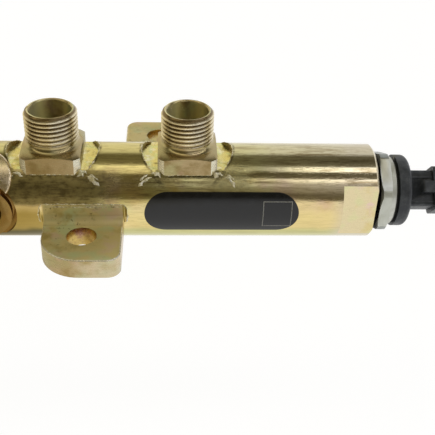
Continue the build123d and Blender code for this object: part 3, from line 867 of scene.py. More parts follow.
@dataclass(frozen=True)
class LabelFilm:
    """Black film with nothing written on it, only a thin frame line for a stamp."""

    name: str = "label_film"
    black: Colour = (0.004, 0.004, 0.005)
    dusty: Colour = (0.008, 0.008, 0.009)
    line: Colour = (0.30, 0.30, 0.29)
    box_centre: tuple[float, float] = (100.0 * MM, 10.4 * MM)
    box_half: float = 4.9 * MM
    line_width: float = 0.30 * MM
    dust: Patches = Patches(260.0, 3.0, 0.6, 0.35, 0.75)
    roughness: tuple[float, float] = (0.16, 0.24)
    grain_scale: float = 3000.0
    grain_depth: float = 0.000003

    def build(self) -> Material:
        """Return the material."""
        g = Coat(self.name, 0.0)
        x, _, z = g.split(g.at)
        across, up = (g.size(g.minus(place, mid)) for place, mid in zip((x, z), self.box_centre))
        off = g.size(g.minus(g.math("MAXIMUM", across, up), self.box_half))
        line = g.math("LESS_THAN", off, self.line_width / 2)
        dust = self.dust.mask(g, g.at)
        colour = g.blend(line, g.blend(dust, self.black, self.dusty), self.line)
        rough = g.step(dust, 0.0, 1.0, *self.roughness)
        return g.wear(colour, rough, g.effect(Effect.GRAIN, self.grain_scale), self.grain_depth)


PLUG_ZINC = PlainMetal("plug_yellow_zinc", (0.78, 0.62, 0.30), (0.62, 0.58, 0.30), 0.30)
TURNED_STEEL = PlainMetal("turned_steel", (0.56, 0.55, 0.52), (0.44, 0.42, 0.38), 0.32)
SOFT_IRON = PlainMetal("soft_iron", (0.36, 0.33, 0.29), (0.24, 0.21, 0.18), 0.42)
CLEAR_ZINC = PlainMetal(
    "clear_zinc", (0.90, 0.93, 0.95), (0.78, 0.81, 0.82), 0.40, (1.0, 0.2, 0.2), 0.6
)
# painted shade: darker copies of the clear zinc for the hexagon's facets that face away from the
# light
SHADED_ZINC = PlainMetal("dull_zinc", (0.33, 0.35, 0.33), (0.27, 0.28, 0.26), 0.36)
HALF_SHADED_ZINC = PlainMetal(
    "half_dull_zinc", (0.69, 0.71, 0.65), (0.58, 0.60, 0.54), 0.40, metallic=0.6
)
SATIN_ZINC = PlainMetal(
    "satin_zinc", (0.66, 0.67, 0.62), (0.56, 0.56, 0.50), 0.44, (0.1, 1.0, 1.0), 0.8
)
CELL_STEEL = PlainMetal("cell_steel", (0.6, 0.6, 0.6), (0.5, 0.5, 0.5))
TINNED_BRASS = PlainMetal(
    "tinned_brass", (0.76, 0.72, 0.62), (0.66, 0.60, 0.48), 0.25, (0.1, 1.0, 1.0)
)
BLACK_HOUSING = MouldedPlastic(
    "black_housing", (0.032, 0.038, 0.050), (0.096, 0.108, 0.128), grain_depth=0.00005
)
GREY_SPACER = MouldedPlastic("grey_spacer", (0.20, 0.21, 0.22), (0.27, 0.28, 0.29))
GREEN_BOARD = MouldedPlastic("green_board", (0.03, 0.16, 0.07), (0.05, 0.20, 0.10), 0.35)
BLACK_RUBBER = MouldedPlastic("black_rubber", (0.012, 0.012, 0.012), (0.025, 0.025, 0.025), 0.6)


# ---------------------------------------------------------------- mesh tools
@contextmanager
def edited(mesh: Mesh) -> Iterator[BMesh]:
    """Open a mesh for editing, and write it back at the end.

    Args:
        mesh: The mesh.

    Yields:
        Its corners, edges and faces.
    """
    work = bmesh.new()
    work.from_mesh(mesh)
    yield work
    work.to_mesh(mesh)
    work.free()


def shown(name: str, mesh: Mesh) -> Piece:
    """Put a mesh in the scene and return its object."""
    piece = bpy.data.objects.new(name, mesh)
    bpy.context.scene.collection.objects.link(piece)
    return piece


def from_columns(*columns: Sequence[float]) -> Matrix:
    """Return the matrix that has the given X, Y, Z and place columns."""
    rows = [[column[i] for column in columns] for i in range(3)]
    return Matrix(rows + [[0.0, 0.0, 0.0, 1.0]])


def merged_copy(node: str, name: str, merge: float = 0.002 * MM, flat: float = 0.3) -> Piece:
    """Copy a CAD node's mesh with its triangles joined and its flat faces made whole.

    Args:
        node: The CAD node.
        name: The new object's name.
        merge: Corners nearer than this are joined.
        flat: Faces that meet at less than this many degrees become one.

    Returns:
        The new object, at the origin.
    """
    mesh = frame["nodes"][node].data.copy()
    mesh.materials.clear()
    with edited(mesh) as work:
        bmesh.ops.remove_doubles(work, verts=work.verts, dist=merge)
        limit = math.radians(flat)
        bmesh.ops.dissolve_limit(work, angle_limit=limit, verts=work.verts, edges=work.edges)
        bmesh.ops.recalc_face_normals(work, faces=work.faces)
    return shown(name, mesh)


def smooth(piece: Piece, angle_degrees: float = 32.0) -> None:
    """Shade a piece smooth, with edges sharper than the angle kept sharp."""
    piece.data.shade_smooth()
    piece.data.set_sharp_from_angle(angle=math.radians(angle_degrees))


def applied(piece: Piece) -> None:
    """Turn a piece's modifiers into its plain mesh.

    Args:
        piece: The piece, which has no modifiers afterwards.
    """
    graph = bpy.context.evaluated_depsgraph_get()
    made = bpy.data.meshes.new_from_object(piece.evaluated_get(graph))
    piece.modifiers.clear()
    piece.data = made


def joined(name: str, pieces: Iterable[Piece]) -> Piece:
    """Join plain meshes into one object at the origin.

    Args:
        name: The new object's name.
        pieces: Objects whose meshes are joined; they are removed.

    Returns:
        The joined object.
    """
    mesh = bpy.data.meshes.new(name)
    with edited(mesh) as work:
        for piece in pieces:
            work.from_mesh(piece.data)
            bpy.data.objects.remove(piece)
    return shown(name, mesh)


@cache
def finished(finish: Any) -> Material:
    """Return the material of a finish, built once for all its pieces."""
    return finish.build()


def place_piece(piece: Piece, nodes: Sequence[str] = ()) -> None:
    """Make a finished piece ride and the nodes that it stands for, and log it.

    Args:
        piece: The piece.
        nodes: The CAD nodes that it stands for.
    """
    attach(piece, "root")
    if nodes:
        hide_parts(*nodes)
    LOG.info("%s: %d faces", piece.name, len(piece.data.polygons))


def dress(node: str, finish: Any, name: str = "", angle_degrees: float = 32.0) -> Piece:
    """Show a smooth copy of a CAD node in its finish.

    Args:
        node: The CAD node.
        finish: The piece's finish.
        name: The piece's name, where it isn't the node's with _shown.
        angle_degrees: Edges sharper than this stay sharp.

    Returns:
        The piece.
    """
    piece = merged_copy(node, name or f"{node}_shown")
    smooth(piece, angle_degrees)
    piece.data.materials.append(finished(finish))
    place_piece(piece, [node])
    return piece


# ---------------------------------------------------------------- threads
SLEEVE_RADII = ("Crest Radius", "Root Radius", "Wall Radius")
SLEEVE_SIZES = ("Crest Share", "Root Share", "Pitch", "Foot", "Top", "Rim Chamfer", "Start Turn")
SLEEVE_SOCKETS = {
    **dict.fromkeys(SLEEVE_RADII + SLEEVE_SIZES, FLOAT),
    "Columns Per Turn": "NodeSocketInt",
    "Rows": "NodeSocketInt",
    "Material": "NodeSocketMaterial",
}
SPARE_TURNS = 2.0
FADE_TURNS = 0.4
WELD = 0.001 * MM


def thread_tree() -> Tree:
    """Build the geometry tree of a helical thread sleeve.

    A grid is rolled into a helix: its columns go round the axis and its rows across one turn of
    thread. Heights outside the sleeve are held at its ends, where the thread fades into the wall.

    Returns:
        The tree, with the sleeve's sizes and material as named inputs.
    """
    tree = bpy.data.node_groups.new("thread_sleeve", "GeometryNodeTree")
    tree.interface.new_socket(name="Geometry", in_out="OUTPUT", socket_type="NodeSocketGeometry")
    for name, kind in SLEEVE_SOCKETS.items():
        tree.interface.new_socket(name=name, in_out="INPUT", socket_type=kind)
    g = Graph(tree)
    size = g.add("NodeGroupInput").outputs
    pitch, foot, top = size["Pitch"], size["Foot"], size["Top"]
    turns = g.math("CEIL", g.plus(g.math("DIVIDE", g.minus(top, foot), pitch), SPARE_TURNS))
    columns = g.times(turns, size["Columns Per Turn"], 1.0)
    sides = {"Size X": 1.0, "Size Y": 1.0, "Vertices X": columns, "Vertices Y": size["Rows"]}
    sleeve = g.add("GeometryNodeMeshGrid", sides).outputs["Mesh"]
    x, y, _ = g.split(g.add("GeometryNodeInputPosition").outputs[0])
    along, phase = g.times(g.plus(x, 0.5), turns), g.plus(y, 0.5)
    risen = g.minus(g.plus(g.plus(along, phase), size["Start Turn"]), 1.0)
    height = g.math("MINIMUM", g.math("MAXIMUM", g.times(risen, pitch, foot), foot), top)
    angle, radius = g.times(along, 2.0 * math.pi), sleeve_radius(g, size, phase, height)
    across, back = (g.times(g.math(part, angle), radius) for part in ("COSINE", "SINE"))
    spot = g.add("ShaderNodeCombineXYZ", {0: across, 1: back, 2: height}).outputs[0]
    for kind, sockets in (
        ("GeometryNodeSetPosition", {"Position": spot}),
        ("GeometryNodeMergeByDistance", {"Distance": WELD}),
        ("GeometryNodeRealizeInstances", {}),
        ("GeometryNodeSetMaterial", {"Material": size["Material"]}),
    ):
        sleeve = g.add(kind, {"Geometry": sleeve, **sockets}).outputs[0]
    g.add("NodeGroupOutput", {"Geometry": sleeve})
    return tree


def sleeve_radius(g: Graph, size: Any, phase: Socket, height: Socket) -> Socket:
    """Build the radius of a sleeve's corner.

    Args:
        g: The sleeve's graph.
        size: The tree's inputs.
        phase: The share of a turn of thread, from one root over the crest to the next.
        height: The corner's height.

    Returns:
        The radius, with the fade at the foot and the chamfer at the rim.
    """
    ridge = g.minus(1.0, g.size(g.times(phase, 2.0, -1.0)))
    span = {0: ridge, 1: size["Root Share"], 2: g.minus(1.0, size["Crest Share"])}
    wave = g.add("ShaderNodeMapRange", span).outputs[0]
    cut = g.times(wave, g.minus(size["Crest Radius"], size["Root Radius"]), size["Root Radius"])
    fade_end = g.times(size["Pitch"], FADE_TURNS, size["Foot"])
    fade = g.add("ShaderNodeMapRange", {0: height, 1: size["Foot"], 2: fade_end}).outputs[0]
    faded = g.times(fade, g.minus(cut, size["Wall Radius"]), size["Wall Radius"])
    edge = g.minus(size["Crest Radius"], size["Rim Chamfer"])
    return g.math("MINIMUM", faded, g.plus(edge, g.minus(size["Top"], height)))


@dataclass(frozen=True)
class OutletThread:
    """An outlet's helical thread, rolled about the Z axis and then put in place.

    Heights are from the rail axis. The core is the wall that stands hidden behind the sleeve.
    """

    crest_radius: float = 9.0 * MM
    root_radius: float = 8.08 * MM
    core_radius: float = 7.75 * MM
    wall_radius: float = 8.4 * MM
    crest_share: float = 0.24
    root_share: float = 0.20
    pitch: float = 1.5 * MM
    foot: float = 20.9 * MM
    top: float = 31.5 * MM
    rim_chamfer: float = 1.1 * MM
    start_turn: float = -0.083
    columns_per_turn: int = 72
    rows: int = 17
    speck: float = 0.0005 * MM

    def make(self, x: float, tree: Tree, material: Material) -> Piece:
        """Run the tree and take its mesh.

        Args:
            x: The outlet's place along the rail.
            tree: The thread's geometry tree.
            material: The finish set on the sleeve.

        Returns:
            A plain mesh object in its place.
        """
        piece = shown("outlet_thread", bpy.data.meshes.new("outlet_thread"))
        modifier = piece.modifiers.new("thread", "NODES")
        modifier.node_group = tree
        for socket in tree.interface.items_tree:
            if socket.name == "Material":
                modifier[socket.identifier] = material
            elif socket.in_out == "INPUT":
                size = getattr(self, socket.name.lower().replace(" ", "_"))
                modifier[socket.identifier] = size
        applied(piece)
        piece.data.transform(Matrix.Translation((x, RAIL_AXIS_Y, RAIL_AXIS_Z)))
        with edited(piece.data) as work:
            bmesh.ops.dissolve_degenerate(work, dist=self.speck, edges=work.edges)
        return piece


# ---------------------------------------------------------------- sub-assemblies
class Zone(Enum):
    """The faces of the rail that share a finish, by their place in its material list."""

    TUBE = 0
    MILLED = 1
    FLAT = 2
    FACET = 3
    TURNED = 4
    BORE = 5
    INLET = 6
    JOINT = 7
    LUG = 8
    CUT = 9
    CREASE = 10
    HOLE = 11
    RIM = 12
    EDGE = 13
    PAD = 14


@dataclass
class RailBody:
    """The forged rail: the CAD shape with its outlet threads cut in.

    Reaches, radii and heights are from the rail's or an outlet's axis. The sizes that end in
    _turn are shares of a face's normal along one axis.
    """

    FINISHES: ClassVar = {
        Zone.TUBE: TubeZinc(), Zone.MILLED: MILLED_ZINC, Zone.FLAT: FLAT_ZINC,
        Zone.FACET: FACET_ZINC, Zone.TURNED: TURNED_ZINC, Zone.BORE: BORE_ZINC,
        Zone.INLET: INLET_SHADE_ZINC, Zone.JOINT: GapShadeBlack(), Zone.LUG: LUG_ZINC, Zone.CUT: CUT_ZINC,
        Zone.CREASE: CREASE_SHADE_ZINC, Zone.HOLE: HOLE_ZINC, Zone.RIM: RIM_ZINC, Zone.EDGE: HIGHLIGHT_LINE_ZINC,
        Zone.PAD: PAD_ZINC,
    }
    thread: OutletThread = OutletThread()
    lug_top: float = 7.0 * MM
    lug_wall_rise: float = 4.2 * MM
    crease_end: float = 19.4 * MM
    union_reach: float = 11.4 * MM
    union_foot: float = 12.0 * MM
    shoulder_foot: float = 17.9 * MM
    bore_radius: float = 7.1 * MM
    groove_radius: float = 11.7 * MM
    flat_depth: float = 0.3 * MM
    pad_radius: float = 10.5 * MM
    hole_reach: float = 5.6 * MM
    joint_start: float = 100.0 * MM
    slack: float = 0.03 * MM
    bevel: float = 0.12 * MM
    bevel_degrees: float = 35.0
    thread_degrees: float = 50.0
    end_turn: float = 0.9
    steep_turn: float = 0.5
    corner_turn: float = 0.3
    shoulder_turn: float = 0.2
    under_turn: float = -0.1
    rim_turn: float = -0.2
    crease_turn: float = 0.06
    level_turn: float = 0.97
    flat_turn: float = 0.985
    faced_turn: float = 0.99
    along_turn: float = 0.1

    def make(self) -> None:
        """Build the body and its outlet threads."""
        body = merged_copy("rail_body", "rail_forging")
        self._sink_thread_walls(body.data)
        self._round_edges(body)
        for zone in Zone:
            body.data.materials.append(finished(self.FINISHES[zone]))
        for face in body.data.polygons:
            face.material_index = self._zone(face).value
        smooth(body)
        self._true_tube_normals(body.data)
        place_piece(body, ["rail_body"])
        self._make_threads()

    def _make_threads(self) -> None:
        """Build the four outlet threads as one piece."""
        tree, material = thread_tree(), finished(ThreadZinc())
        sleeves = [self.thread.make(x, tree, material) for x in OUTLET_X]
        threads = joined("outlet_threads", sleeves)
        threads.data.materials.append(material)
        smooth(threads, self.thread_degrees)
        place_piece(threads)

    def _sink_thread_walls(self, mesh: Mesh) -> None:
        """Draw the plain crest cylinders of the outlets in, so that the threads stand in front.

        Args:
            mesh: The body's mesh, whose corners are moved.
        """
        thread, slack = self.thread, self.slack
        for vertex in mesh.vertices:
            height = vertex.co.z - RAIL_AXIS_Z
            if not thread.foot - slack < height < thread.top - slack:
                continue
            radius = thread.wall_radius if height < thread.foot + slack else thread.core_radius
            for x in OUTLET_X:
                out = Vector((vertex.co.x - x, vertex.co.y - RAIL_AXIS_Y))
                if abs(out.length - thread.crest_radius) < slack:
                    out *= radius / out.length
                    vertex.co.x, vertex.co.y = x + out.x, RAIL_AXIS_Y + out.y

    def _round_edges(self, body: Piece) -> None:
        """Break the sharp edges of the body a little.

        Args:
            body: The body's piece.
        """
        modifier = body.modifiers.new("edges", "BEVEL")
        modifier.width = self.bevel
        modifier.segments = 2
        modifier.limit_method = "ANGLE"
        modifier.angle_limit = math.radians(self.bevel_degrees)
        modifier.use_clamp_overlap = True
        applied(body)

    def _zone(self, face: Face) -> Zone:
        """Tell which finish a face has, by its place and the way it faces.

        Args:
            face: A polygon of the body.

        Returns:
            The face's zone.
        """
        normal = face.normal
        x, y, z = face.center.x, face.center.y - RAIL_AXIS_Y, face.center.z - RAIL_AXIS_Z
        out, across = math.hypot(y, z), abs(y)
        cut_in, steep = out < TUBE_RADIUS - self.slack, abs(normal.z) < self.steep_turn
        beside = min((abs(x - outlet), x - outlet) for outlet in OUTLET_X)[1]
        if z > self.union_foot and max(abs(beside), across) < self.union_reach:
            return self._union_zone(math.hypot(beside, y), z, normal)
        # painted shade: the closed-in end faces get the near-black
        if abs(normal.x) > self.end_turn and out < TUBE_RADIUS and abs(x) > self.joint_start:
            return Zone.JOINT
        if y < 0 and math.hypot(x, z) < self.groove_radius and cut_in:
            return Zone.INLET
        if y < 0 < z and abs(x) < self.pad_radius and out > TUBE_RADIUS + self.slack:
            return Zone.PAD
        if steep and self._in_lug_hole(face):
            return Zone.HOLE
        if cut_in and z > SPOTFACE_HEIGHT - self.slack and steep:
            return Zone.CUT
        if self._on_lug_wall(normal, across, z, cut_in):
            if y < 0 and abs(abs(x) - LUG_X) > LUG_HALF_WIDTH:
                return Zone.TUBE
            sloping = self.crease_turn < normal.z < self.flat_turn and across < self.crease_end
            return Zone.CREASE if sloping else Zone.LUG
        on_lug = face.center.z < self.lug_top and across > TUBE_RADIUS
        if on_lug and self.rim_turn < normal.z < self.level_turn:
            # painted highlight on the sloping edge of the lug
            return Zone.EDGE if normal.z > self.corner_turn else Zone.RIM
        if abs(normal.z) > self.end_turn and (cut_in or z < 0):
            return Zone.MILLED
        faced = abs(normal.y) > self.faced_turn and across < TUBE_RADIUS - self.flat_depth
        return Zone.FLAT if faced else Zone.TUBE

    def _union_zone(self, out: float, z: float, normal: Vector) -> Zone:
        """Tell which finish a face of an outlet's boss has.

        Args:
            out: The distance from the outlet's axis.
            z: The height over the rail axis.
            normal: The way the face faces.

        Returns:
            The face's zone.
        """
        if out < self.bore_radius:
            return Zone.BORE
        if z > self.shoulder_foot or abs(normal.z) > self.shoulder_turn:
            return Zone.TURNED
        at_corner = min(abs(normal.x), abs(normal.y)) > self.corner_turn
        # painted highlight on the boss's corners
        return Zone.EDGE if at_corner else Zone.FACET

    def _on_lug_wall(self, normal: Vector, across: float, z: float, cut_in: bool) -> bool:
        """Tell whether a face is on a lug's top or on the wall that was cut into the tube over it.

        Args:
            normal: The way the face faces.
            across: The distance from the rail axis along Y.
            z: The height over the rail axis.
            cut_in: Whether the face lies inside the tube's round.

        Returns:
            True on a lug's top or wall.
        """
        if across <= LUG_WALL - self.slack or z >= self.lug_wall_rise:
            return False
        if normal.z <= self.under_turn or abs(normal.x) >= self.steep_turn:
            return False
        sloping = across < self.crease_end and normal.z > self.crease_turn
        return cut_in or z < 0 and (normal.z > self.level_turn or sloping)

    def _in_lug_hole(self, face: Face) -> bool:
        """Tell whether an upright face is on the wall of a bolt hole.

        Args:
            face: A polygon of the body.

        Returns:
            True within reach of a bolt hole's axis.
        """
        for mount in frame["record"]["mounts"]:
            if mount["kind"] == "bolt_pattern":
                half = mount["dims"]["spacing_x_mm"] / 2 * MM
                aside = (abs(face.center.x) - half, face.center.y - mount["pos_m"][1])
                if math.hypot(*aside) < self.hole_reach:
                    return True
        return False

    def _true_tube_normals(self, mesh: Mesh) -> None:
        """Point the normals of the tube's long facets straight out, so that it shines as a round.

        Args:
            mesh: The body's mesh.
        """
        normals = [Vector()] * len(mesh.loops)
        for face in mesh.polygons:
            corners = [mesh.vertices[i].co for i in face.vertices]
            spokes = [Vector((0, at.y - RAIL_AXIS_Y, at.z - RAIL_AXIS_Z)) for at in corners]
            on_tube = all(abs(spoke.length - TUBE_RADIUS) < self.slack for spoke in spokes)
            if on_tube and abs(face.normal.x) < self.along_turn:
                for loop, spoke in zip(face.loop_indices, spokes):
                    normals[loop] = spoke.normalized()
        mesh.normals_split_custom_set(normals)


@dataclass
class Burrs:
    """The thin ragged ridges that the cutters left round the faced places.

    CHIPS_MM holds the corners of each chip beside an outlet, as distances out along the rail and
    to the front, and then the chip's size. The other tables hold a ridge's size against the usual
    one, and the least share of it that is kept.
    """

    RIM: ClassVar = (0.8, 0.2)
    FOOT: ClassVar = (0.75, 0.2)
    WALL_TOP: ClassVar = (1.0, 0.55)
    WALL_FACE: ClassVar = (0.8, 0.45)
    RUN_OUT: ClassVar = (1.0, 0.4)
    CHIPS_MM: ClassVar = (
        (((9.0, 11.8), (10.1, 11.0), (11.3, 10.6), (12.3, 10.9)), 3.6),
        (((12.3, 11.5), (13.6, 12.0), (15.0, 12.8), (16.2, 13.9)), 2.4),
        (((13.4, 11.0), (14.8, 11.7), (16.0, 12.6)), 1.3),
    )
    radius: float = 0.30 * MM
    flatness: float = 0.75
    chip_size: float = 1.2
    least_chip: float = 0.5
    step: float = 0.35 * MM
    sides: int = 6
    tip: float = 0.3
    taper: int = 3
    raggedness: tuple[float, float, float] = (0.65, 1.4, 0.6)
    ragged_scales: tuple[float, float] = (900.0, 2600.0)
    drift_scale: float = 600.0
    rim_steps: int = 24
    rim_past: float = 0.02
    foot_half: float = 8.2 * MM
    wall_drop: float = 1.1 * MM
    cutter_radius: float = 3.0 * MM
    cutter_steps: int = 16
    lug_top: float = 7.0 * MM
    smooth_degrees: float = 60.0

    def make(self) -> None:
        """Build every ridge as one piece."""
        mesh = bpy.data.meshes.new("burrs")
        with edited(mesh) as work:
            for path, size, least in self._paths():
                self._ridge(work, path, size, least)
        piece = shown("burrs", mesh)
        for finish in (BURR_ZINC, CHIP_ZINC):
            piece.data.materials.append(finished(finish))
        smooth(piece, self.smooth_degrees)
        place_piece(piece)

    @staticmethod
    def _on_tube(x: float, y: float) -> Vector:
        """Return the point of the tube's upper side at x and y, y being from the rail axis."""
        z = math.sqrt(max(TUBE_RADIUS**2 - y**2, 0.0))
        return Vector((x, RAIL_AXIS_Y + y, RAIL_AXIS_Z + z))

    def _paths(self) -> Iterable[tuple[list[Vector], float, float]]:
        """Find where the ridges run.

        Yields:
            Each ridge's corners, its size against the usual one and the least share of it kept.
        """
        for outlet in OUTLET_X:
            for hand in (-1, 1):
                yield self._rim(outlet, hand), *self.RIM
                for chip, size in self.CHIPS_MM:
                    corners = [(outlet + hand * out * MM, -down * MM) for out, down in chip]
                    yield [self._on_tube(x, y) for x, y in corners], size, self.least_chip
            ends = [outlet + side * self.foot_half for side in (-1, 1)]
            yield [self._on_tube(x, -UNION_HALF_DEPTH) for x in ends], *self.FOOT
        for side in (-1, 1):
            ends = (side * LUG_X - LUG_HALF_WIDTH, side * LUG_X + LUG_HALF_WIDTH)
            upper = [self._on_tube(x, -LUG_WALL) for x in ends]
            yield upper, *self.WALL_TOP
            yield [point - Vector((0, 0, self.wall_drop)) for point in upper], *self.WALL_FACE
            for x, hand in zip(ends, (-1, 1)):
                yield self._run_out(x, hand), *self.RUN_OUT

    def _rim(self, outlet: float, hand: int) -> list[Vector]:
        """Follow the rim of a spotface on one side of its outlet.

        Args:
            outlet: The outlet's place along the rail.
            hand: -1 on the left, 1 on the right.

        Returns:
            The rim's corners.
        """
        low = math.asin(math.sqrt(TUBE_RADIUS**2 - SPOTFACE_HEIGHT**2) / SPOTFACE_RADIUS)
        steps = self.rim_steps
        turns = [-low - self.rim_past + i / steps * 2 * low for i in range(steps + 1)]
        side = hand * SPOTFACE_RADIUS
        return [
            self._on_tube(outlet + side * math.cos(turn), SPOTFACE_RADIUS * math.sin(turn))
            for turn in turns
        ]

    def _run_out(self, x: float, hand: int) -> list[Vector]:
        """Follow the edge where the lug's cutter ran out into the tube beyond a lug's side.

        Args:
            x: The lug's side.
            hand: -1 on the left, 1 on the right.

        Returns:
            The edge's corners over the lug.
        """
        points = []
        middle = LUG_WALL + self.cutter_radius
        leave = math.acos(min((middle - TUBE_RADIUS) / self.cutter_radius, 1.0))
        for i in range(self.cutter_steps + 1):
            turn = leave * math.sin(i / self.cutter_steps * math.pi)
            y = -(middle - self.cutter_radius * math.cos(turn))
            point = self._on_tube(x + hand * self.cutter_radius * math.sin(turn), y)
            if i > self.cutter_steps / 2:
                point.z = 2 * RAIL_AXIS_Z - point.z
            points.append(point)
        return [point for point in points if point.z > self.lug_top]

    def _ridge(self, work: BMesh, path: list[Vector], size: float, least: float) -> None:
        """Sweep a ragged round along a path, tapered at both ends.

        Args:
            work: The mesh that the ridge is added to.
            path: Corners of the path, on the body's surface.
            size: The ridge's size against the usual one.
            least: The least share of its size that the ragged ridge keeps.
        """
        points = [path[0]]
        for start, end in zip(path, path[1:]):
            count = max(1, round((end - start).length / self.step))
            points += [start.lerp(end, i / count) for i in range(1, count + 1)]
        spin = [2 * math.pi * side / self.sides for side in range(self.sides)]
        mean, coarse, fine = self.raggedness
        coarse_scale, fine_scale = self.ragged_scales
        last, rings = len(points) - 1, []
        for i, point in enumerate(points):
            ahead = points[min(i + 1, last)] - points[max(i - 1, 0)]
            out = Vector((0, point.y - RAIL_AXIS_Y, point.z - RAIL_AXIS_Z)).normalized()
            aside = ahead.cross(out).normalized()
            ragged = mean + coarse * noise.noise(point * coarse_scale)
            ragged += fine * noise.noise(point * fine_scale)
            taper = min(1.0, (i + self.tip) / self.taper, (last - i + self.tip) / self.taper)
            reach = self.radius * size * max(least, ragged) * taper
            shift = aside * self.radius * size * noise.noise(point * self.drift_scale)
            arms = [out * math.cos(a) * self.flatness + aside * math.sin(a) for a in spin]
            rings.append([work.verts.new(point + shift + arm * reach) for arm in arms])
        for ring, following in zip(rings, rings[1:]):
            for side in range(self.sides):
                beside = (side + 1) % self.sides
                work.faces.new((ring[side], ring[beside], following[beside], following[side]))
        work.faces.new(rings[0][::-1])
        work.faces.new(rings[-1])
        if size > self.chip_size:
            for vertex in (vertex for ring in rings for vertex in ring):
                for face in vertex.link_faces:
                    face.material_index = 1


@dataclass
class Label:
    """The blank film label on the front of the rail."""

    smooth_degrees: float = 20.0

    def make(self) -> None:
        """Dress the CAD label."""
        dress("label", LabelFilm(), "label_film", self.smooth_degrees)


@dataclass
class EndPieces:
    """The plug and seal at the left end, and the throttles in the outlets."""

    throttle_count: int = 4

    def make(self) -> None:
        """Dress the pieces."""
        dress("end_plug", PLUG_ZINC)
        dress("end_plug_seal", SOFT_IRON)
        for number in range(1, self.throttle_count + 1):
            dress(f"outlet_throttle_{number}", TURNED_STEEL)


class HexFace(Enum):
    """The faces of the sensor's hexagon, by their place in its material list."""

    CLEAR = 0
    DULL = 1
    JOINT = 2
    HALF_DULL = 3


@dataclass
class PressureSensor:
    """The sensor at the right end: zinc hexagon and collar, black housing and connector."""

    joint_end: float = 136.6 * MM
    dull_below: float = -0.2
    dull_above: float = 0.87
    half_dull_below: float = 0.5
    terminal_count: int = 3
    neck_middle: float = 153.0 * MM
    neck_face: float = 3.9 * MM
    rib_offsets: tuple[float, ...] = (-5.3 * MM, 3.9 * MM)
    rib_size: Triple = (10.7 * MM, 0.55 * MM, 0.8 * MM)

    def make(self) -> None:
        """Dress the sensor's pieces."""
        hexagon = dress("sensor_body", CLEAR_ZINC)
        for finish in (SHADED_ZINC, GapShadeBlack(name="sensor_joint_black"), HALF_SHADED_ZINC):
            hexagon.data.materials.append(finished(finish))
        for face in hexagon.data.polygons:
            face.material_index = self._hex_face(face).value
        dress("sensor_collar", SATIN_ZINC)
        dress("sensor_cell", CELL_STEEL)
        self._add_neck_ribs(dress("sensor_housing", BLACK_HOUSING))
        dress("sensor_spacer", GREY_SPACER)
        dress("sensor_board", GREEN_BOARD)
        dress("sensor_o_ring", BLACK_RUBBER)
        for number in range(1, self.terminal_count + 1):
            dress(f"sensor_terminal_{number}", TINNED_BRASS)

    def _hex_face(self, face: Face) -> HexFace:
        """Tell which finish a face of the hexagon has: the clear one, or a copy painted darker as
        shade by the way the face points.

        Args:
            face: A polygon of the sensor's body.

        Returns:
            The kind of face.
        """
        # painted shade: the hexagon's face against the rail gets the near-black
        if face.center.x < self.joint_end:
            return HexFace.JOINT
        # painted shade: facets that point steeply up or down get the dark copy, those from a little
        # down to half up the half-dark copy
        if not self.dull_below <= face.normal.z <= self.dull_above:
            return HexFace.DULL
        return HexFace.HALF_DULL if face.normal.z < self.half_dull_below else HexFace.CLEAR

    def _add_neck_ribs(self, housing: Piece) -> None:
        """Add the thin moulded ribs that run along the neck's upper front face.

        Args:
            housing: The housing's shown piece.
        """
        half = math.sqrt(0.5)
        out, up = Vector((0, -half, half)), Vector((0, half, half))
        middle = Vector((self.neck_middle, RAIL_AXIS_Y, RAIL_AXIS_Z))
        length, width, height = self.rib_size
        with edited(housing.data) as work:
            for offset in self.rib_offsets:
                centre = middle + out * self.neck_face + up * offset
                place = from_columns((length, 0, 0), up * width, out * height, centre)
                bmesh.ops.create_cube(work, size=1.0, matrix=place)


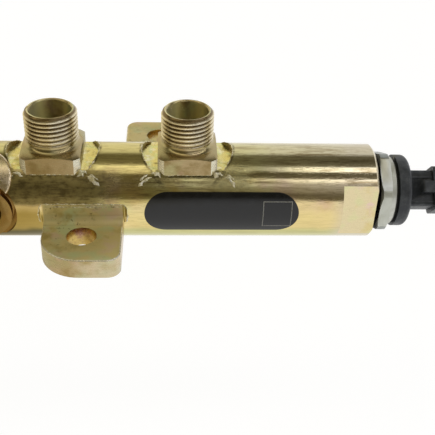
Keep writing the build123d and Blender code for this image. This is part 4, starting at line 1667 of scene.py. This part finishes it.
# ---------------------------------------------------------------- studio
@dataclass
class Studio:
    """Floor, light and camera.

    The surround is bright below and behind and dark in front, with long strip lights overhead
    that differ to the left, in the middle and to the right. Each band table holds the degrees
    about X, from the front up and over to the back, and the level of each stop.
    """

    RIGHT_BANDS: ClassVar = (
        (0.0, 0.95), (2.0, 0.90), (5.0, 0.16), (21.0, 0.17), (25.0, 0.30), (36.0, 0.42),
        (44.0, 0.62), (47.0, 0.55), (49.0, 1.55), (56.0, 1.55), (58.0, 0.16), (74.0, 0.14),
        (76.0, 2.00), (86.0, 2.00), (89.0, 0.22), (104.0, 0.10), (122.0, 0.15),
        (127.0, 0.62), (134.0, 0.84), (178.0, 0.95), (360.0, 0.95),
    )
    MIDDLE_BANDS: ClassVar = (
        (0.0, 0.95), (6.0, 0.85), (10.0, 0.14), (22.0, 0.15), (26.0, 0.24), (36.0, 0.28),
        (39.0, 0.60), (45.0, 0.60), (47.0, 0.20), (50.0, 0.24), (52.0, 0.88), (57.0, 0.88),
        (59.0, 0.13), (76.0, 0.13), (79.0, 0.44), (87.0, 0.44), (91.0, 0.18), (104.0, 0.15),
        (122.0, 0.18), (127.0, 0.60), (134.0, 0.84), (178.0, 0.95), (360.0, 0.95),
    )
    LEFT_BANDS: ClassVar = (
        (0.0, 0.62), (3.0, 0.54), (7.5, 0.15), (46.0, 0.09), (66.0, 0.14), (72.0, 0.90),
        (87.0, 1.15), (94.0, 0.25), (104.0, 0.17), (122.0, 0.14), (128.0, 0.42),
        (134.0, 0.74), (146.0, 0.84), (178.0, 0.88), (210.0, 0.62), (360.0, 0.62),
    )
    LEFT_TINT: ClassVar = (1.04, 0.96, 0.70)
    DARK_TINT: ClassVar = (1.08, 0.96, 0.56)
    dark_level: float = 0.5
    left_to_middle: Ramp = (-0.03, 0.05)
    middle_to_right: Ramp = (0.12, 0.20)
    camera_place: Triple = (62.233 * MM, -215.341 * MM, 159.976 * MM)
    camera_right: Triple = (0.99797, -0.05142, 0.03752)
    camera_up: Triple = (-0.00234, 0.55945, 0.82886)
    camera_back: Triple = (-0.0636, -0.8273, 0.5582)
    lens_mm: float = 65.09
    sensor_mm: float = 36.0
    nearest: float = 0.01
    floor_drop: float = 0.10
    floor_size: float = 8.0
    floor_colour: Colour = (0.86, 0.86, 0.85)
    floor_faint: Colour = (0.16, 0.16, 0.16)
    floor_glow: float = 0.92
    left_glow: Colour = (0.64, 0.57, 0.40)
    glow_side: Ramp = (-0.03, 0.045)

    def make(self) -> None:
        """Build the floor, the world and the camera."""
        self._floor()
        self._world()
        self._camera()

    def _camera(self) -> None:
        """Make the camera and choose it."""
        data = bpy.data.cameras.new("camera")
        data.lens, data.sensor_width, data.clip_start = self.lens_mm, self.sensor_mm, self.nearest
        camera = shown("camera", data)
        axes = (self.camera_right, self.camera_up, self.camera_back)
        camera.matrix_world = from_columns(*axes, self.camera_place)
        bpy.context.scene.camera = camera

    def _floor(self) -> None:
        """Make the pale floor, which shows white and keeps some shadow."""
        half, z = self.floor_size / 2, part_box("rail_body")[0].z - self.floor_drop
        corners = [(-half, -half, z), (half, -half, z), (half, half, z), (-half, half, z)]
        mesh = bpy.data.meshes.new("floor")
        mesh.from_pydata(corners, [], [(0, 1, 2, 3)])
        mesh.materials.append(self._floor_white())
        shown("floor", mesh)

    def _floor_white(self) -> Material:
        """Build the floor's material, which glows where it is seen and only lights a little.

        Returns:
            The material.
        """
        material = bpy.data.materials.new("floor_white")
        g = Graph(cleared(material))
        ray = g.add("ShaderNodeLightPath").outputs
        seen = g.plus(ray["Is Camera Ray"], ray["Is Glossy Ray"])
        seen = g.math("ADD", seen, ray["Is Transmission Ray"], use_clamp=True)
        x = g.split(g.add("ShaderNodeTexCoord").outputs["Object"])[0]
        right = g.math("MAXIMUM", g.step(x, *self.glow_side), ray["Is Camera Ray"])
        colour = g.blend(right, self.left_glow, WHITE)
        glow = g.add("ShaderNodeEmission", {"Color": colour, "Strength": self.floor_glow})
        plain, faint = (
            g.add("ShaderNodeBsdfDiffuse", {"Color": grey}).outputs[0]
            for grey in (self.floor_colour, self.floor_faint)
        )
        bright = g.add("ShaderNodeAddShader", {0: faint, 1: glow.outputs[0]}).outputs[0]
        mixed = g.add("ShaderNodeMixShader", {0: seen, 1: plain, 2: bright})
        g.add("ShaderNodeOutputMaterial", {"Surface": mixed.outputs[0]})
        return material

    def _world(self) -> None:
        """Make the soft studio: a white surround with dark gaps between long overhead lights."""
        world = bpy.data.worlds.new("studio")
        g = Graph(cleared(world))
        x, y, z = g.split(g.add("ShaderNodeTexCoord").outputs["Generated"])
        turn = g.math("ARCTAN2", z, g.times(y, -1.0))
        share = g.math("FRACT", g.plus(g.math("DIVIDE", turn, 2.0 * math.pi), 1.0))
        tables = (self.LEFT_BANDS, self.MIDDLE_BANDS, self.RIGHT_BANDS)
        left, middle, right = (self._bands(g, share, stops) for stops in tables)
        left = g.blend(1.0, left, self.LEFT_TINT, "MULTIPLY")
        bands = g.blend(g.step(x, *self.left_to_middle), left, middle)
        bands = g.blend(g.step(x, *self.middle_to_right), bands, right)
        seen = g.add("ShaderNodeLightPath").outputs["Is Camera Ray"]
        colour = g.blend(seen, bands, WHITE)
        glow = g.add("ShaderNodeBackground", {"Color": colour, "Strength": 1.0})
        g.add("ShaderNodeOutputWorld", {"Surface": glow.outputs[0]})
        bpy.context.scene.world = world

    def _bands(self, g: Graph, share: Socket, stops: Sequence[tuple[float, float]]) -> Socket:
        """Build the grey of the surround, a little warmer where it is dark.

        Args:
            g: The world's graph.
            share: The share of a turn about X.
            stops: Degrees and level of each stop.

        Returns:
            The colour.
        """
        node = g.add("ShaderNodeValToRGB", {0: share})
        elements = node.color_ramp.elements
        while len(elements) < len(stops):
            elements.new(0.5)
        for element, (degrees, level) in zip(elements, stops):
            element.position = degrees / 360.0
            warmth = max(0.0, 1.0 - level / self.dark_level)
            tint = (level * (1.0 + warmth * (part - 1.0)) for part in self.DARK_TINT)
            element.color = (*tint, 1.0)
        return node.outputs[0]


def main() -> None:
    """Build the studio and every piece."""
    logging.basicConfig(level=logging.INFO, format="%(name)s %(message)s")
    bpy.context.scene.view_settings.view_transform = "Standard"
    Studio().make()
    for part in (RailBody(), Burrs(), Label(), EndPieces(), PressureSensor()):
        LOG.info("making %s", type(part).__name__)
        part.make()


if __name__ == "__main__":
    main()
